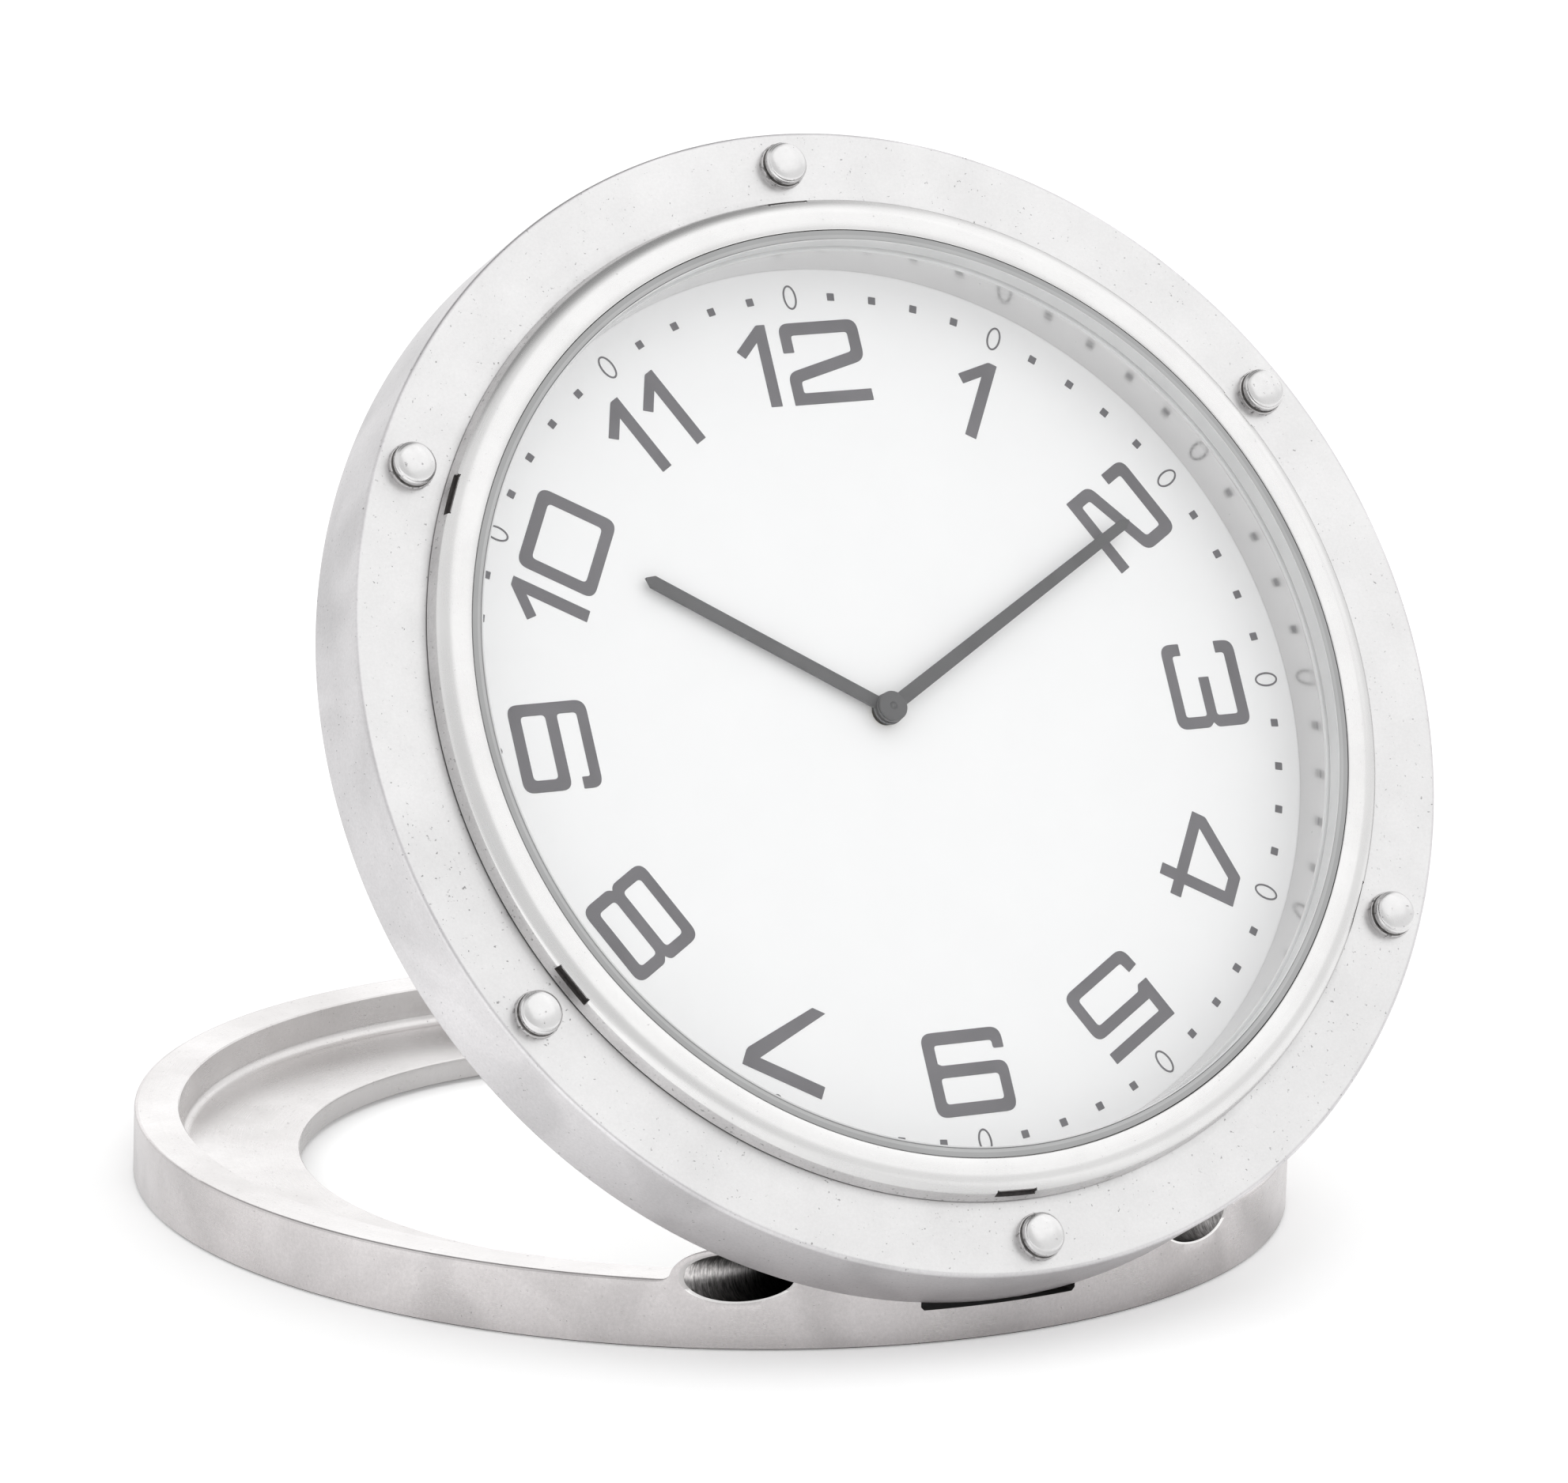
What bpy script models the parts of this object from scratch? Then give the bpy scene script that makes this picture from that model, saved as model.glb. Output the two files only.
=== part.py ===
"""Folding steel desk clock on a flat ring base.

Metres, +Z up. The origin lies on the table, under the middle of the hinge.
+X is the 3 o'clock side and the dial looks towards -Y, leaning back.
In the clock's own frame the dial's centre is the origin: +X is 3 o'clock,
+Y is 12 o'clock and +Z points at the reader.
"""
import bpy
import bmesh
from math import asin, cos, pi, radians, sin

# Case and base
CASE_RADIUS = 0.0425
CASE_FRONT = 0.00378
CASE_BACK = 0.00319
BASE_RADIUS = CASE_RADIUS
BASE_HEIGHT = 0.00497
EDGE_BREAK = 0.00015

# Hinge: its place in from the case's edge and behind the dial, and above the table
HINGE_INSET = 0.00455
HINGE_DROP = CASE_RADIUS - HINGE_INSET
HINGE_BEHIND = 0.00581
HINGE_HEIGHT = 0.00525
OPEN_ANGLE = radians(58.92)
STOP_GAP = 0.00012
LUG_RADIUS = 0.0022
LUG_SETBACK = 0.00002
BORE_RADIUS = 0.00172
BORE_STOP = 0.0109
SLOT_HALF = 0.00625
SLOT_FLOOR = 0.00245
SLOT_CHAMFER = 0.00025
SCOOP_HALF = 0.016
PIN_RADIUS = 0.00105
PIN_TIP = 0.0032
PIN_HEAD_LENGTH = 0.0016
PIN_HEAD_GAP = 0.00017
WASHER_THICKNESS = 0.00025
WASHER_RADIUS = 0.002
WASHER_GAP = 0.00015
KNUCKLE_RADIUS = 0.00215
BUSH_WALL = 0.00035
BUSH_LENGTH = 0.0029

# Base ring section
RIM_WALL = 0.0033
RIM_INNER_RADIUS = BASE_RADIUS - RIM_WALL
LEDGE_HEIGHT = 0.00207
LEDGE_FILLET = 0.0008
LEDGE_DROP = 0.00015
LEDGE_WIDTH = 0.0089
HOLE_RADIUS = RIM_INNER_RADIUS - LEDGE_WIDTH
FOOT_RELIEF = 0.0002
FOOT_WIDTH = 0.008
FOOT_INNER_RADIUS = BASE_RADIUS - FOOT_WIDTH

# Case ring section
FLANGE_WIDTH = 0.00537
BEZEL_FOOT_RADIUS = CASE_RADIUS - FLANGE_WIDTH
BEZEL_SEAT_WIDTH = 0.00138
BEZEL_SEAT_RADIUS = BEZEL_FOOT_RADIUS - BEZEL_SEAT_WIDTH
DIAL_LEDGE_DEPTH = 0.0005
DIAL_LEDGE_WIDTH = 0.00275
CASE_BORE_RADIUS = BEZEL_SEAT_RADIUS - DIAL_LEDGE_WIDTH
BOSS_WALL = 0.002
BOSS_RADIUS = CASE_BORE_RADIUS + BOSS_WALL
BOSS_DEPTH = 0.0084
COVER_LIP = 0.0008
COVER_SEAT_RADIUS = BOSS_RADIUS - COVER_LIP
COVER_SEAT_DEPTH = 0.0072
REAR_FLANGE_WIDTH = 0.0039
REAR_FLANGE_RADIUS = COVER_SEAT_RADIUS - REAR_FLANGE_WIDTH
REAR_FLANGE_THICKNESS = 0.0012

# Studs on the flange
STUD_COUNT = 6
STUD_INSET = 0.00258
STUD_CIRCLE = CASE_RADIUS - STUD_INSET
STUD_FOOT_RADIUS = 0.0017
STUD_FOOT_HEIGHT = 0.00034
STUD_NECK_RADIUS = 0.00142
STUD_NECK_HEIGHT = 0.00018
STUD_HEAD_RADIUS = 0.00158
STUD_RIM_HEIGHT = 0.0009
STUD_HEIGHT = 0.0014
STUD_SHANK_RADIUS = 0.0008
STUD_SHANK_LENGTH = 0.0023

# Bezel, glass and the wall ring under it
BEZEL_SKIRT_LEAN = 0.00023
BEZEL_EDGE_RADIUS = BEZEL_FOOT_RADIUS - BEZEL_SKIRT_LEAN
BEZEL_EDGE_HEIGHT = 0.00505
BEZEL_SHOULDER = 0.00075
BEZEL_TOP_RADIUS = BEZEL_EDGE_RADIUS - BEZEL_SHOULDER
BEZEL_TOP_HEIGHT = 0.00556
BEZEL_LAND = 0.00172
BEZEL_INNER_RADIUS = BEZEL_TOP_RADIUS - BEZEL_LAND
BEZEL_SPIGOT_DEPTH = 0.00148
BEZEL_NOTCH_RADIUS = 0.0076
BEZEL_NOTCH_BITE = 0.00017
BEZEL_NOTCH_DEPTH = 0.00045
BEZEL_NOTCH_ANGLES = (358.5, 59.7, 121.0, 182.4, 240.1, 298.2)
GASKET_WIDTH = 0.00073
CRYSTAL_RADIUS = BEZEL_INNER_RADIUS - GASKET_WIDTH
CRYSTAL_THICKNESS = 0.0014
CRYSTAL_BEVEL = 0.0001
GASKET_FOOT = 0.0004
GASKET_FOOT_HEIGHT = 0.0003
REHAUT_INSET = 0.00101
REHAUT_LEAN = 0.00008
REHAUT_FOOT_RADIUS = BEZEL_INNER_RADIUS - REHAUT_INSET
REHAUT_TOP_RADIUS = REHAUT_FOOT_RADIUS + REHAUT_LEAN
REHAUT_WALL = 0.0008

# Dial and hands
DIAL_EDGE_GAP = 0.00025
DIAL_RADIUS = BEZEL_SEAT_RADIUS - DIAL_EDGE_GAP
DIAL_THICKNESS = 0.0004
DIAL_HOLE_CLEARANCE = 0.00025
HOUR_ANGLE = radians(304.0)
MINUTE_ANGLE = radians(62.1)
HOUR_LENGTH = 0.0202
HOUR_HALF_WIDTH = 0.000475
HOUR_POINT = 0.0006
HOUR_HUB_RADIUS = 0.00115
HOUR_HAND_HEIGHT = 0.00055
MINUTE_LENGTH = 0.0259
MINUTE_ROOT_HALF_WIDTH = 0.000525
MINUTE_TIP_HALF_WIDTH = 0.0004
MINUTE_POINT = 0.0006
MINUTE_HUB_RADIUS = 0.0011
MINUTE_HAND_HEIGHT = 0.00098
HAND_THICKNESS = 0.00025
CAP_RADIUS = 0.0011
CAP_THICKNESS = 0.0002

# Movement: what lies in its plane is laid out in parts of its radius, of which it has 21
HOLDER_GAP = 0.0002
HOLDER_RADIUS = CASE_BORE_RADIUS - HOLDER_GAP
MOVEMENT_SHARE = 21 / 32.8
MOVEMENT_RADIUS = MOVEMENT_SHARE * HOLDER_RADIUS
MOVEMENT_PART = MOVEMENT_RADIUS / 21
MOVEMENT_STEP = 0.0007
HOLDER_DEPTH = 0.0058
HOLDER_FRONT = 0.0006
PLATE_FRONT = 0.0007
PLATE_THICKNESS = 0.0008
BRIDGE_FRONT = 0.0059
BRIDGE_THICKNESS = 0.0007
BRIDGE_RADIUS = 10.8 * MOVEMENT_PART
BRIDGE_CENTRE = (MOVEMENT_PART, -MOVEMENT_PART)
PILLAR_RADIUS = 1.2 * MOVEMENT_PART
PILLAR_PLACES = (
    (8.5 * MOVEMENT_PART, 3 * MOVEMENT_PART),
    (-3 * MOVEMENT_PART, -8.5 * MOVEMENT_PART),
    (-MOVEMENT_PART, 8 * MOVEMENT_PART),
)
MOVEMENT_SCREW_RADIUS = 0.0005
MOVEMENT_SCREW_HEAD_RADIUS = 0.001
MOVEMENT_SCREW_HEAD = 0.00045
MOVEMENT_SCREW_GRIP = 0.0022

# Arbors, wheels and pinions
ARBOR_RADIUS = 0.00035
PIPE_RADIUS = 0.00075
POST_RADIUS = 0.00045
PIVOT_RADIUS = 0.00025
PIVOT_DEPTH = 0.0004
RUNNING_GAP = 0.00009
MOTION_MODULE = 0.3 * MOVEMENT_PART
CANNON_TEETH = 10
MINUTE_WHEEL_TEETH = 30
MINUTE_PINION_TEETH = 8
HOUR_WHEEL_TEETH = 32
CENTRE_MODULE = 0.25 * MOVEMENT_PART
CENTRE_TEETH = 48
TRAIN_PINION_TEETH = 6
ROTOR_MODULE = 0.2 * MOVEMENT_PART
INTERMEDIATE_TEETH = 45
HOUR_WHEEL_DEPTH = 0.00225
MINUTE_WHEEL_DEPTH = 0.003
CENTRE_WHEEL_DEPTH = 0.004
INTERMEDIATE_DEPTH = 0.0047
HOUR_WHEEL_THICKNESS = 0.0005
MINUTE_WHEEL_THICKNESS = 0.0005
CENTRE_WHEEL_THICKNESS = 0.0004
INTERMEDIATE_THICKNESS = 0.0004
PINION_MARGIN = 0.0001
MINUTE_WHEEL_BEARING = radians(150)
INTERMEDIATE_BEARING = radians(-30)
ROTOR_BEARING = radians(-90)
ROTOR_RADIUS = 1.7 * MOVEMENT_PART
ROTOR_FRONT = 0.005
ROTOR_THICKNESS = 0.0008
ADDENDUM_SHARE = 0.8
DEDENDUM_SHARE = 1.1
ROOT_WIDTH_SHARE = 0.52
TIP_WIDTH_SHARE = 0.22

# Coil, stator and circuit
COIL_PLACE = -15 * MOVEMENT_PART
COIL_DEPTH = 0.0046
COIL_RADIUS = 2.1 * MOVEMENT_PART
COIL_BORE_RADIUS = 0.85 * MOVEMENT_PART
CORE_HALF_LENGTH = 9.8 * MOVEMENT_PART
COIL_END_ROOM = 2.8 * MOVEMENT_PART
COIL_HALF_LENGTH = CORE_HALF_LENGTH - COIL_END_ROOM
CORE_HALF_WIDTH = 0.5 * MOVEMENT_PART
CORE_HALF_THICKNESS = 0.4 * MOVEMENT_PART
STATOR_FRONT = 0.0051
STATOR_THICKNESS = 0.0006
STATOR_LEG_WIDTH = 2 * MOVEMENT_PART
STATOR_LEG_REACH = MOVEMENT_PART
STATOR_BACK_EDGE = -10.2 * MOVEMENT_PART
STATOR_TOP_EDGE = -5.9 * MOVEMENT_PART
STATOR_STEP = 2.2 * MOVEMENT_PART
STATOR_COIL_GAP = 0.7 * MOVEMENT_PART
STATOR_HOLE_GAP = 0.4 * MOVEMENT_PART
BOARD_LEFT = -11 * MOVEMENT_PART
BOARD_RIGHT = 13.5 * MOVEMENT_PART
BOARD_LOW = 10 * MOVEMENT_PART
BOARD_HIGH = 14.5 * MOVEMENT_PART
BOARD_FRONT = 0.0018
BOARD_THICKNESS = 0.0005
CAN_RADIUS = MOVEMENT_PART
CAN_LENGTH = 6 * MOVEMENT_PART
CAN_PLACE = (3.5 * MOVEMENT_PART, 12.25 * MOVEMENT_PART)
CHIP_PLACE = (-3 * MOVEMENT_PART, 12.25 * MOVEMENT_PART)
CHIP_HALF_LENGTH = 2 * MOVEMENT_PART
CHIP_HALF_WIDTH = 1.5 * MOVEMENT_PART
CHIP_THICKNESS = 0.0008
BATTERY_PLACE = (-13 * MOVEMENT_PART, MOVEMENT_PART)
BATTERY_RADIUS = 5.8 * MOVEMENT_PART
BATTERY_FRONT = 0.0036
BATTERY_THICKNESS = 0.0031
BATTERY_BEVEL = 0.0003
CONTACT_LEFT = -10.4 * MOVEMENT_PART
CONTACT_WIDTH = 1.6 * MOVEMENT_PART
CONTACT_THICKNESS = 0.0002
CONTACT_END = 12 * MOVEMENT_PART
CLIP_THICKNESS = 0.0002
CLIP_HEIGHT = 0.0026
CLIP_START = radians(100)
CLIP_END = radians(260)

# Back cover, hatch and knob
COVER_GAP = 0.0002
COVER_RADIUS = COVER_SEAT_RADIUS - COVER_GAP
COVER_DEPTH = 0.00835
COVER_THICKNESS = 0.0008
COVER_SCREW_COUNT = 4
COVER_SCREW_INSET = 0.0022
COVER_SCREW_CIRCLE = COVER_SEAT_RADIUS - COVER_SCREW_INSET
COVER_SCREW_RADIUS = 0.0006
COVER_SCREW_HEAD_RADIUS = 0.0011
COVER_SCREW_HEAD = 0.0004
COVER_SCREW_GRIP = 0.0019
BACK_GASKET_WIDTH = 0.0007
BACK_GASKET_INNER_RADIUS = COVER_RADIUS - BACK_GASKET_WIDTH
HATCH_RADIUS = 7.1 * MOVEMENT_PART
HATCH_GAP = 0.0003
HATCH_PLUG_RADIUS = 5.6 * MOVEMENT_PART
HATCH_PLUG_DEPTH = 0.007
HATCH_SLOT_HALF_LENGTH = 4.5 * MOVEMENT_PART
HATCH_SLOT_HALF_WIDTH = 0.0006
HATCH_SLOT_DEPTH = 0.0004
KNOB_RADIUS = 3.6 * MOVEMENT_PART
KNOB_THICKNESS = 0.0011
KNOB_GAP = 0.0002
KNOB_LOBES = 24
KNOB_LOBE_DEPTH = 0.00025

# Small fits
SEAT_GAP = 0.0001
FIT_GAP = 0.00005
SCREW_GAP = 0.00008
KNUCKLE_SCREW_OFFSET = 0.0015
KNUCKLE_SCREW_RADIUS = 0.0005
KNUCKLE_SCREW_HEAD_RADIUS = 0.0009
KNUCKLE_SCREW_HEAD = 0.0007
KNUCKLE_SCREW_SUNK = 0.0007
KNUCKLE_SCREW_GRIP = 0.002
DRIVER_SLOT_HALF_WIDTH = 0.00018
DRIVER_SLOT_DEPTH = 0.00025
OVERRUN = 0.001
WELD_DISTANCE = 0.000001

# Facets on round pieces
RING_SIDES = 50
MIDDLE_SIDES = 36
SMALL_SIDES = 18
STUD_SIDES = 14
TINY_SIDES = 10
SMOOTH_ANGLE = radians(35)

for leftover in list(bpy.data.objects):
    bpy.data.objects.remove(leftover, do_unlink=True)


def finish(name, colour, roughness, metallic):
    """A plain Principled material."""
    material = bpy.data.materials.new(name)
    material.use_nodes = True
    shader = material.node_tree.nodes["Principled BSDF"]
    shader.inputs["Base Color"].default_value = (*colour, 1.0)
    shader.inputs["Roughness"].default_value = roughness
    shader.inputs["Metallic"].default_value = metallic
    return material


SATIN_STEEL = finish("satin_steel", (0.62, 0.61, 0.60), 0.42, 1.0)
POLISHED_STEEL = finish("polished_steel", (0.72, 0.72, 0.72), 0.15, 1.0)
SCREW_STEEL = finish("screw_steel", (0.45, 0.45, 0.46), 0.3, 1.0)
CLEAR_GLASS = finish("clear_glass", (0.95, 0.97, 0.96), 0.02, 0.0)
GREY_GASKET = finish("grey_gasket", (0.42, 0.45, 0.43), 0.5, 0.0)
DIAL_WHITE = finish("dial_white", (0.92, 0.92, 0.92), 0.6, 0.0)
HAND_GREY = finish("hand_grey", (0.16, 0.15, 0.16), 0.5, 0.0)
BRASS = finish("brass", (0.75, 0.57, 0.27), 0.3, 1.0)
MOVEMENT_PLASTIC = finish("movement_plastic", (0.72, 0.72, 0.70), 0.5, 0.0)
BLACK_PLASTIC = finish("black_plastic", (0.03, 0.03, 0.03), 0.45, 0.0)
BLACK_RUBBER = finish("black_rubber", (0.02, 0.02, 0.02), 0.8, 0.0)
COPPER = finish("copper", (0.72, 0.35, 0.18), 0.35, 1.0)
BOARD_GREEN = finish("board_green", (0.04, 0.2, 0.09), 0.5, 0.0)


def mesh_from(bm, name):
    """Close off a bmesh: weld it, turn its faces outwards and shade its round faces smooth."""
    bmesh.ops.remove_doubles(bm, verts=bm.verts[:], dist=WELD_DISTANCE)
    bmesh.ops.recalc_face_normals(bm, faces=bm.faces[:])
    mesh = bpy.data.meshes.new(name)
    bm.to_mesh(mesh)
    bm.free()
    mesh.shade_smooth()
    mesh.set_sharp_from_angle(angle=SMOOTH_ANGLE)
    return mesh


def turned(name, outline, sides=RING_SIDES):
    """Spin a (radius, height) outline about Z; an outline that touches the axis makes a solid."""
    bm = bmesh.new()
    points = [bm.verts.new((radius, 0, height)) for radius, height in outline]
    edges = []
    for start, end in zip(points, points[1:] + points[:1]):
        if start.co.x > 0 or end.co.x > 0:
            edges.append(bm.edges.new((start, end)))
    bmesh.ops.spin(bm, geom=points + edges, cent=(0, 0, 0), axis=(0, 0, 1),
                   angle=2 * pi, steps=sides, use_merge=True)
    return mesh_from(bm, name)


def extruded(name, outline, start, end, along="z"):
    """Push a flat outline from start to end along one axis."""
    places = {
        "x": lambda a, b, c: (c, a, b),
        "y": lambda a, b, c: (a, c, b),
        "z": lambda a, b, c: (a, b, c),
    }
    place = places[along]
    bm = bmesh.new()
    face = bm.faces.new([bm.verts.new(place(a, b, start)) for a, b in outline])
    pushed = bmesh.ops.extrude_face_region(bm, geom=[face])
    moved = [item for item in pushed["geom"] if isinstance(item, bmesh.types.BMVert)]
    bmesh.ops.translate(bm, verts=moved, vec=place(0, 0, end - start))
    return mesh_from(bm, name)


def box(name, low, high):
    """A block between two corners."""
    outline = [(low[0], low[1]), (high[0], low[1]), (high[0], high[1]), (low[0], high[1])]
    return extruded(name, outline, low[2], high[2])


def arc(centre, radius, start, end, steps):
    """Points along an arc from one angle to another, both ends included."""
    angles = [start + (end - start) * step / steps for step in range(steps + 1)]
    return [(centre[0] + radius * cos(a), centre[1] + radius * sin(a)) for a in angles]


def round_bar(name, radius, start, end, sides=SMALL_SIDES, along="z", centre=(0, 0)):
    """A plain cylinder between two places along one axis."""
    outline = arc(centre, radius, 0, 2 * pi, sides)[:-1]
    return extruded(name, outline, start, end, along)


def piece(name, mesh, material, parent=None, place=(0, 0, 0), turn=(0, 0, 0)):
    """Put one named solid in the scene."""
    solid = bpy.data.objects.new(name, mesh)
    mesh.materials.clear()
    mesh.materials.append(material)
    bpy.context.collection.objects.link(solid)
    solid.parent = parent
    solid.location = place
    solid.rotation_euler = turn
    return solid


def guide(mesh, parent, place=(0, 0, 0), turn=(0, 0, 0)):
    """A hidden solid that only joins or cuts another."""
    helper = bpy.data.objects.new(mesh.name, mesh)
    bpy.context.collection.objects.link(helper)
    helper.parent = parent
    helper.location = place
    helper.rotation_euler = turn
    helper.hide_render = True
    helper.display_type = "WIRE"
    return helper


def shape(solid, operation, mesh, place=(0, 0, 0), turn=(0, 0, 0)):
    """Join, cut or clip a solid with a guide given in the solid's own frame."""
    helper = guide(mesh, solid, place, turn)
    modifier = solid.modifiers.new(mesh.name, "BOOLEAN")
    modifier.operation = operation
    modifier.solver = "EXACT"
    modifier.object = helper
    return helper


def empty(name, parent=None, place=(0, 0, 0), turn=(0, 0, 0)):
    """A frame that pieces hang from."""
    frame = bpy.data.objects.new(name, None)
    bpy.context.collection.objects.link(frame)
    frame.parent = parent
    frame.location = place
    frame.rotation_euler = turn
    return frame


def on_circle(radius, angle):
    """A place on a circle round the dial's centre."""
    return (radius * cos(angle), radius * sin(angle))


# The clock hangs on the hinge axis, and its own frame starts at the dial's centre.
clock_tilt = empty("clock_tilt", None, (0, 0, HINGE_HEIGHT), (OPEN_ANGLE, 0, 0))
dial_centre = empty("dial_centre", clock_tilt, (0, HINGE_DROP, HINGE_BEHIND))

# Base ring: a turned ring with a raised rim, a ledge and a thin foot
base_outline = [
    (HOLE_RADIUS, FOOT_RELIEF),
    (FOOT_INNER_RADIUS, FOOT_RELIEF),
    (FOOT_INNER_RADIUS, 0),
    (BASE_RADIUS - EDGE_BREAK, 0),
    (BASE_RADIUS, EDGE_BREAK),
    (BASE_RADIUS, BASE_HEIGHT - EDGE_BREAK),
    (BASE_RADIUS - EDGE_BREAK, BASE_HEIGHT),
    (RIM_INNER_RADIUS, BASE_HEIGHT),
    (RIM_INNER_RADIUS, LEDGE_HEIGHT + LEDGE_FILLET),
    (RIM_INNER_RADIUS - LEDGE_FILLET, LEDGE_HEIGHT),
    (HOLE_RADIUS, LEDGE_HEIGHT - LEDGE_DROP),
]
base_ring = piece("base_ring", turned("base_ring", base_outline), SATIN_STEEL,
                  place=(0, HINGE_DROP, 0))

# Hinge lugs: one rounded bar along the axis, clipped by the ring's outer wall
lug_top = arc((-HINGE_DROP, HINGE_HEIGHT), LUG_RADIUS, 0, pi, TINY_SIDES)
lug_foot = LEDGE_HEIGHT - EDGE_BREAK
lug_outline = lug_top + [(-HINGE_DROP - LUG_RADIUS, lug_foot), (-HINGE_DROP + LUG_RADIUS, lug_foot)]
lug_bar = shape(base_ring, "UNION",
                extruded("lug_bar", lug_outline, -BASE_RADIUS, BASE_RADIUS, "x"))
shape(lug_bar, "INTERSECT",
      round_bar("lug_clip", BASE_RADIUS - LUG_SETBACK, 0, HINGE_HEIGHT + 2 * LUG_RADIUS, RING_SIDES))

# Slot for the clock's knuckle, with chamfered bottom corners
slot_top = HINGE_HEIGHT + LUG_RADIUS + OVERRUN
slot_outline = [
    (-SLOT_HALF, slot_top),
    (-SLOT_HALF, SLOT_FLOOR + SLOT_CHAMFER),
    (-SLOT_HALF + SLOT_CHAMFER, SLOT_FLOOR),
    (SLOT_HALF - SLOT_CHAMFER, SLOT_FLOOR),
    (SLOT_HALF, SLOT_FLOOR + SLOT_CHAMFER),
    (SLOT_HALF, slot_top),
]
shape(base_ring, "DIFFERENCE",
      extruded("knuckle_slot", slot_outline, -BASE_RADIUS - OVERRUN,
               LUG_RADIUS + OVERRUN - HINGE_DROP, "y"))

# Flat scoop that the back of the case comes to rest on when the clock is open
stop_plane = HINGE_BEHIND - CASE_BACK - STOP_GAP
shape(base_ring, "DIFFERENCE",
      box("scoop", (-SCOOP_HALF, -BASE_HEIGHT - HINGE_HEIGHT, stop_plane),
          (SCOOP_HALF, LUG_RADIUS, stop_plane + HINGE_HEIGHT)),
      (0, -HINGE_DROP, HINGE_HEIGHT), (OPEN_ANGLE, 0, 0))

# Bores: wide from the outside, narrow where the pins pass
for side, bore in (("left", -1), ("right", 1)):
    shape(base_ring, "DIFFERENCE",
          round_bar("bore_" + side, BORE_RADIUS, bore * BORE_STOP, bore * BASE_RADIUS,
                    along="x", centre=(-HINGE_DROP, HINGE_HEIGHT)))
shape(base_ring, "DIFFERENCE",
      round_bar("pin_hole", PIN_RADIUS + SCREW_GAP, -BORE_STOP - OVERRUN, BORE_STOP + OVERRUN,
                along="x", centre=(-HINGE_DROP, HINGE_HEIGHT)))


def driver_slot(solid, top, radius):
    """Cut a screwdriver slot across a head whose face lies at the given height."""
    shape(solid, "DIFFERENCE",
          box(solid.name + "_slot",
              (-radius - OVERRUN, -DRIVER_SLOT_HALF_WIDTH, top - DRIVER_SLOT_DEPTH),
              (radius + OVERRUN, DRIVER_SLOT_HALF_WIDTH, top + OVERRUN)))


# Hinge pins: slotted pivot screws, sunk in the bores
for side, turn in (("left", -pi / 2), ("right", pi / 2)):
    head_seat = BORE_STOP + SEAT_GAP
    head_radius = BORE_RADIUS - PIN_HEAD_GAP
    head_top = head_seat + PIN_HEAD_LENGTH
    pin_outline = [
        (0, PIN_TIP),
        (PIN_RADIUS, PIN_TIP),
        (PIN_RADIUS, head_seat),
        (head_radius, head_seat),
        (head_radius, head_top),
        (0, head_top),
    ]
    pin = piece("hinge_pin_" + side, turned("hinge_pin_" + side, pin_outline, SMALL_SIDES),
                SCREW_STEEL, place=(0, 0, HINGE_HEIGHT), turn=(0, turn, 0))
    driver_slot(pin, head_top, head_radius)

# Friction washers between each lug and the knuckle
for side, turn in (("left", -pi / 2), ("right", pi / 2)):
    washer_outer = SLOT_HALF - WASHER_GAP
    washer_outline = [
        (PIN_RADIUS + SCREW_GAP, washer_outer - WASHER_THICKNESS),
        (WASHER_RADIUS, washer_outer - WASHER_THICKNESS),
        (WASHER_RADIUS, washer_outer),
        (PIN_RADIUS + SCREW_GAP, washer_outer),
    ]
    piece("hinge_washer_" + side, turned("hinge_washer_" + side, washer_outline, SMALL_SIDES),
          POLISHED_STEEL, place=(0, 0, HINGE_HEIGHT), turn=(0, turn, 0))

# Case ring: flange, side wall, web and the smaller boss behind
case_outline = [
    (BEZEL_SEAT_RADIUS, CASE_FRONT),
    (CASE_RADIUS - EDGE_BREAK, CASE_FRONT),
    (CASE_RADIUS, CASE_FRONT - EDGE_BREAK),
    (CASE_RADIUS, EDGE_BREAK - CASE_BACK),
    (CASE_RADIUS - EDGE_BREAK, -CASE_BACK),
    (BOSS_RADIUS, -CASE_BACK),
    (BOSS_RADIUS, -BOSS_DEPTH),
    (COVER_SEAT_RADIUS, -BOSS_DEPTH),
    (COVER_SEAT_RADIUS, -COVER_SEAT_DEPTH),
    (REAR_FLANGE_RADIUS, -COVER_SEAT_DEPTH),
    (REAR_FLANGE_RADIUS, REAR_FLANGE_THICKNESS - COVER_SEAT_DEPTH),
    (CASE_BORE_RADIUS, REAR_FLANGE_THICKNESS - COVER_SEAT_DEPTH),
    (CASE_BORE_RADIUS, -DIAL_LEDGE_DEPTH),
    (BEZEL_SEAT_RADIUS, -DIAL_LEDGE_DEPTH),
]
case_ring = piece("case_ring", turned("case_ring", case_outline), SATIN_STEEL, dial_centre)

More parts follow.
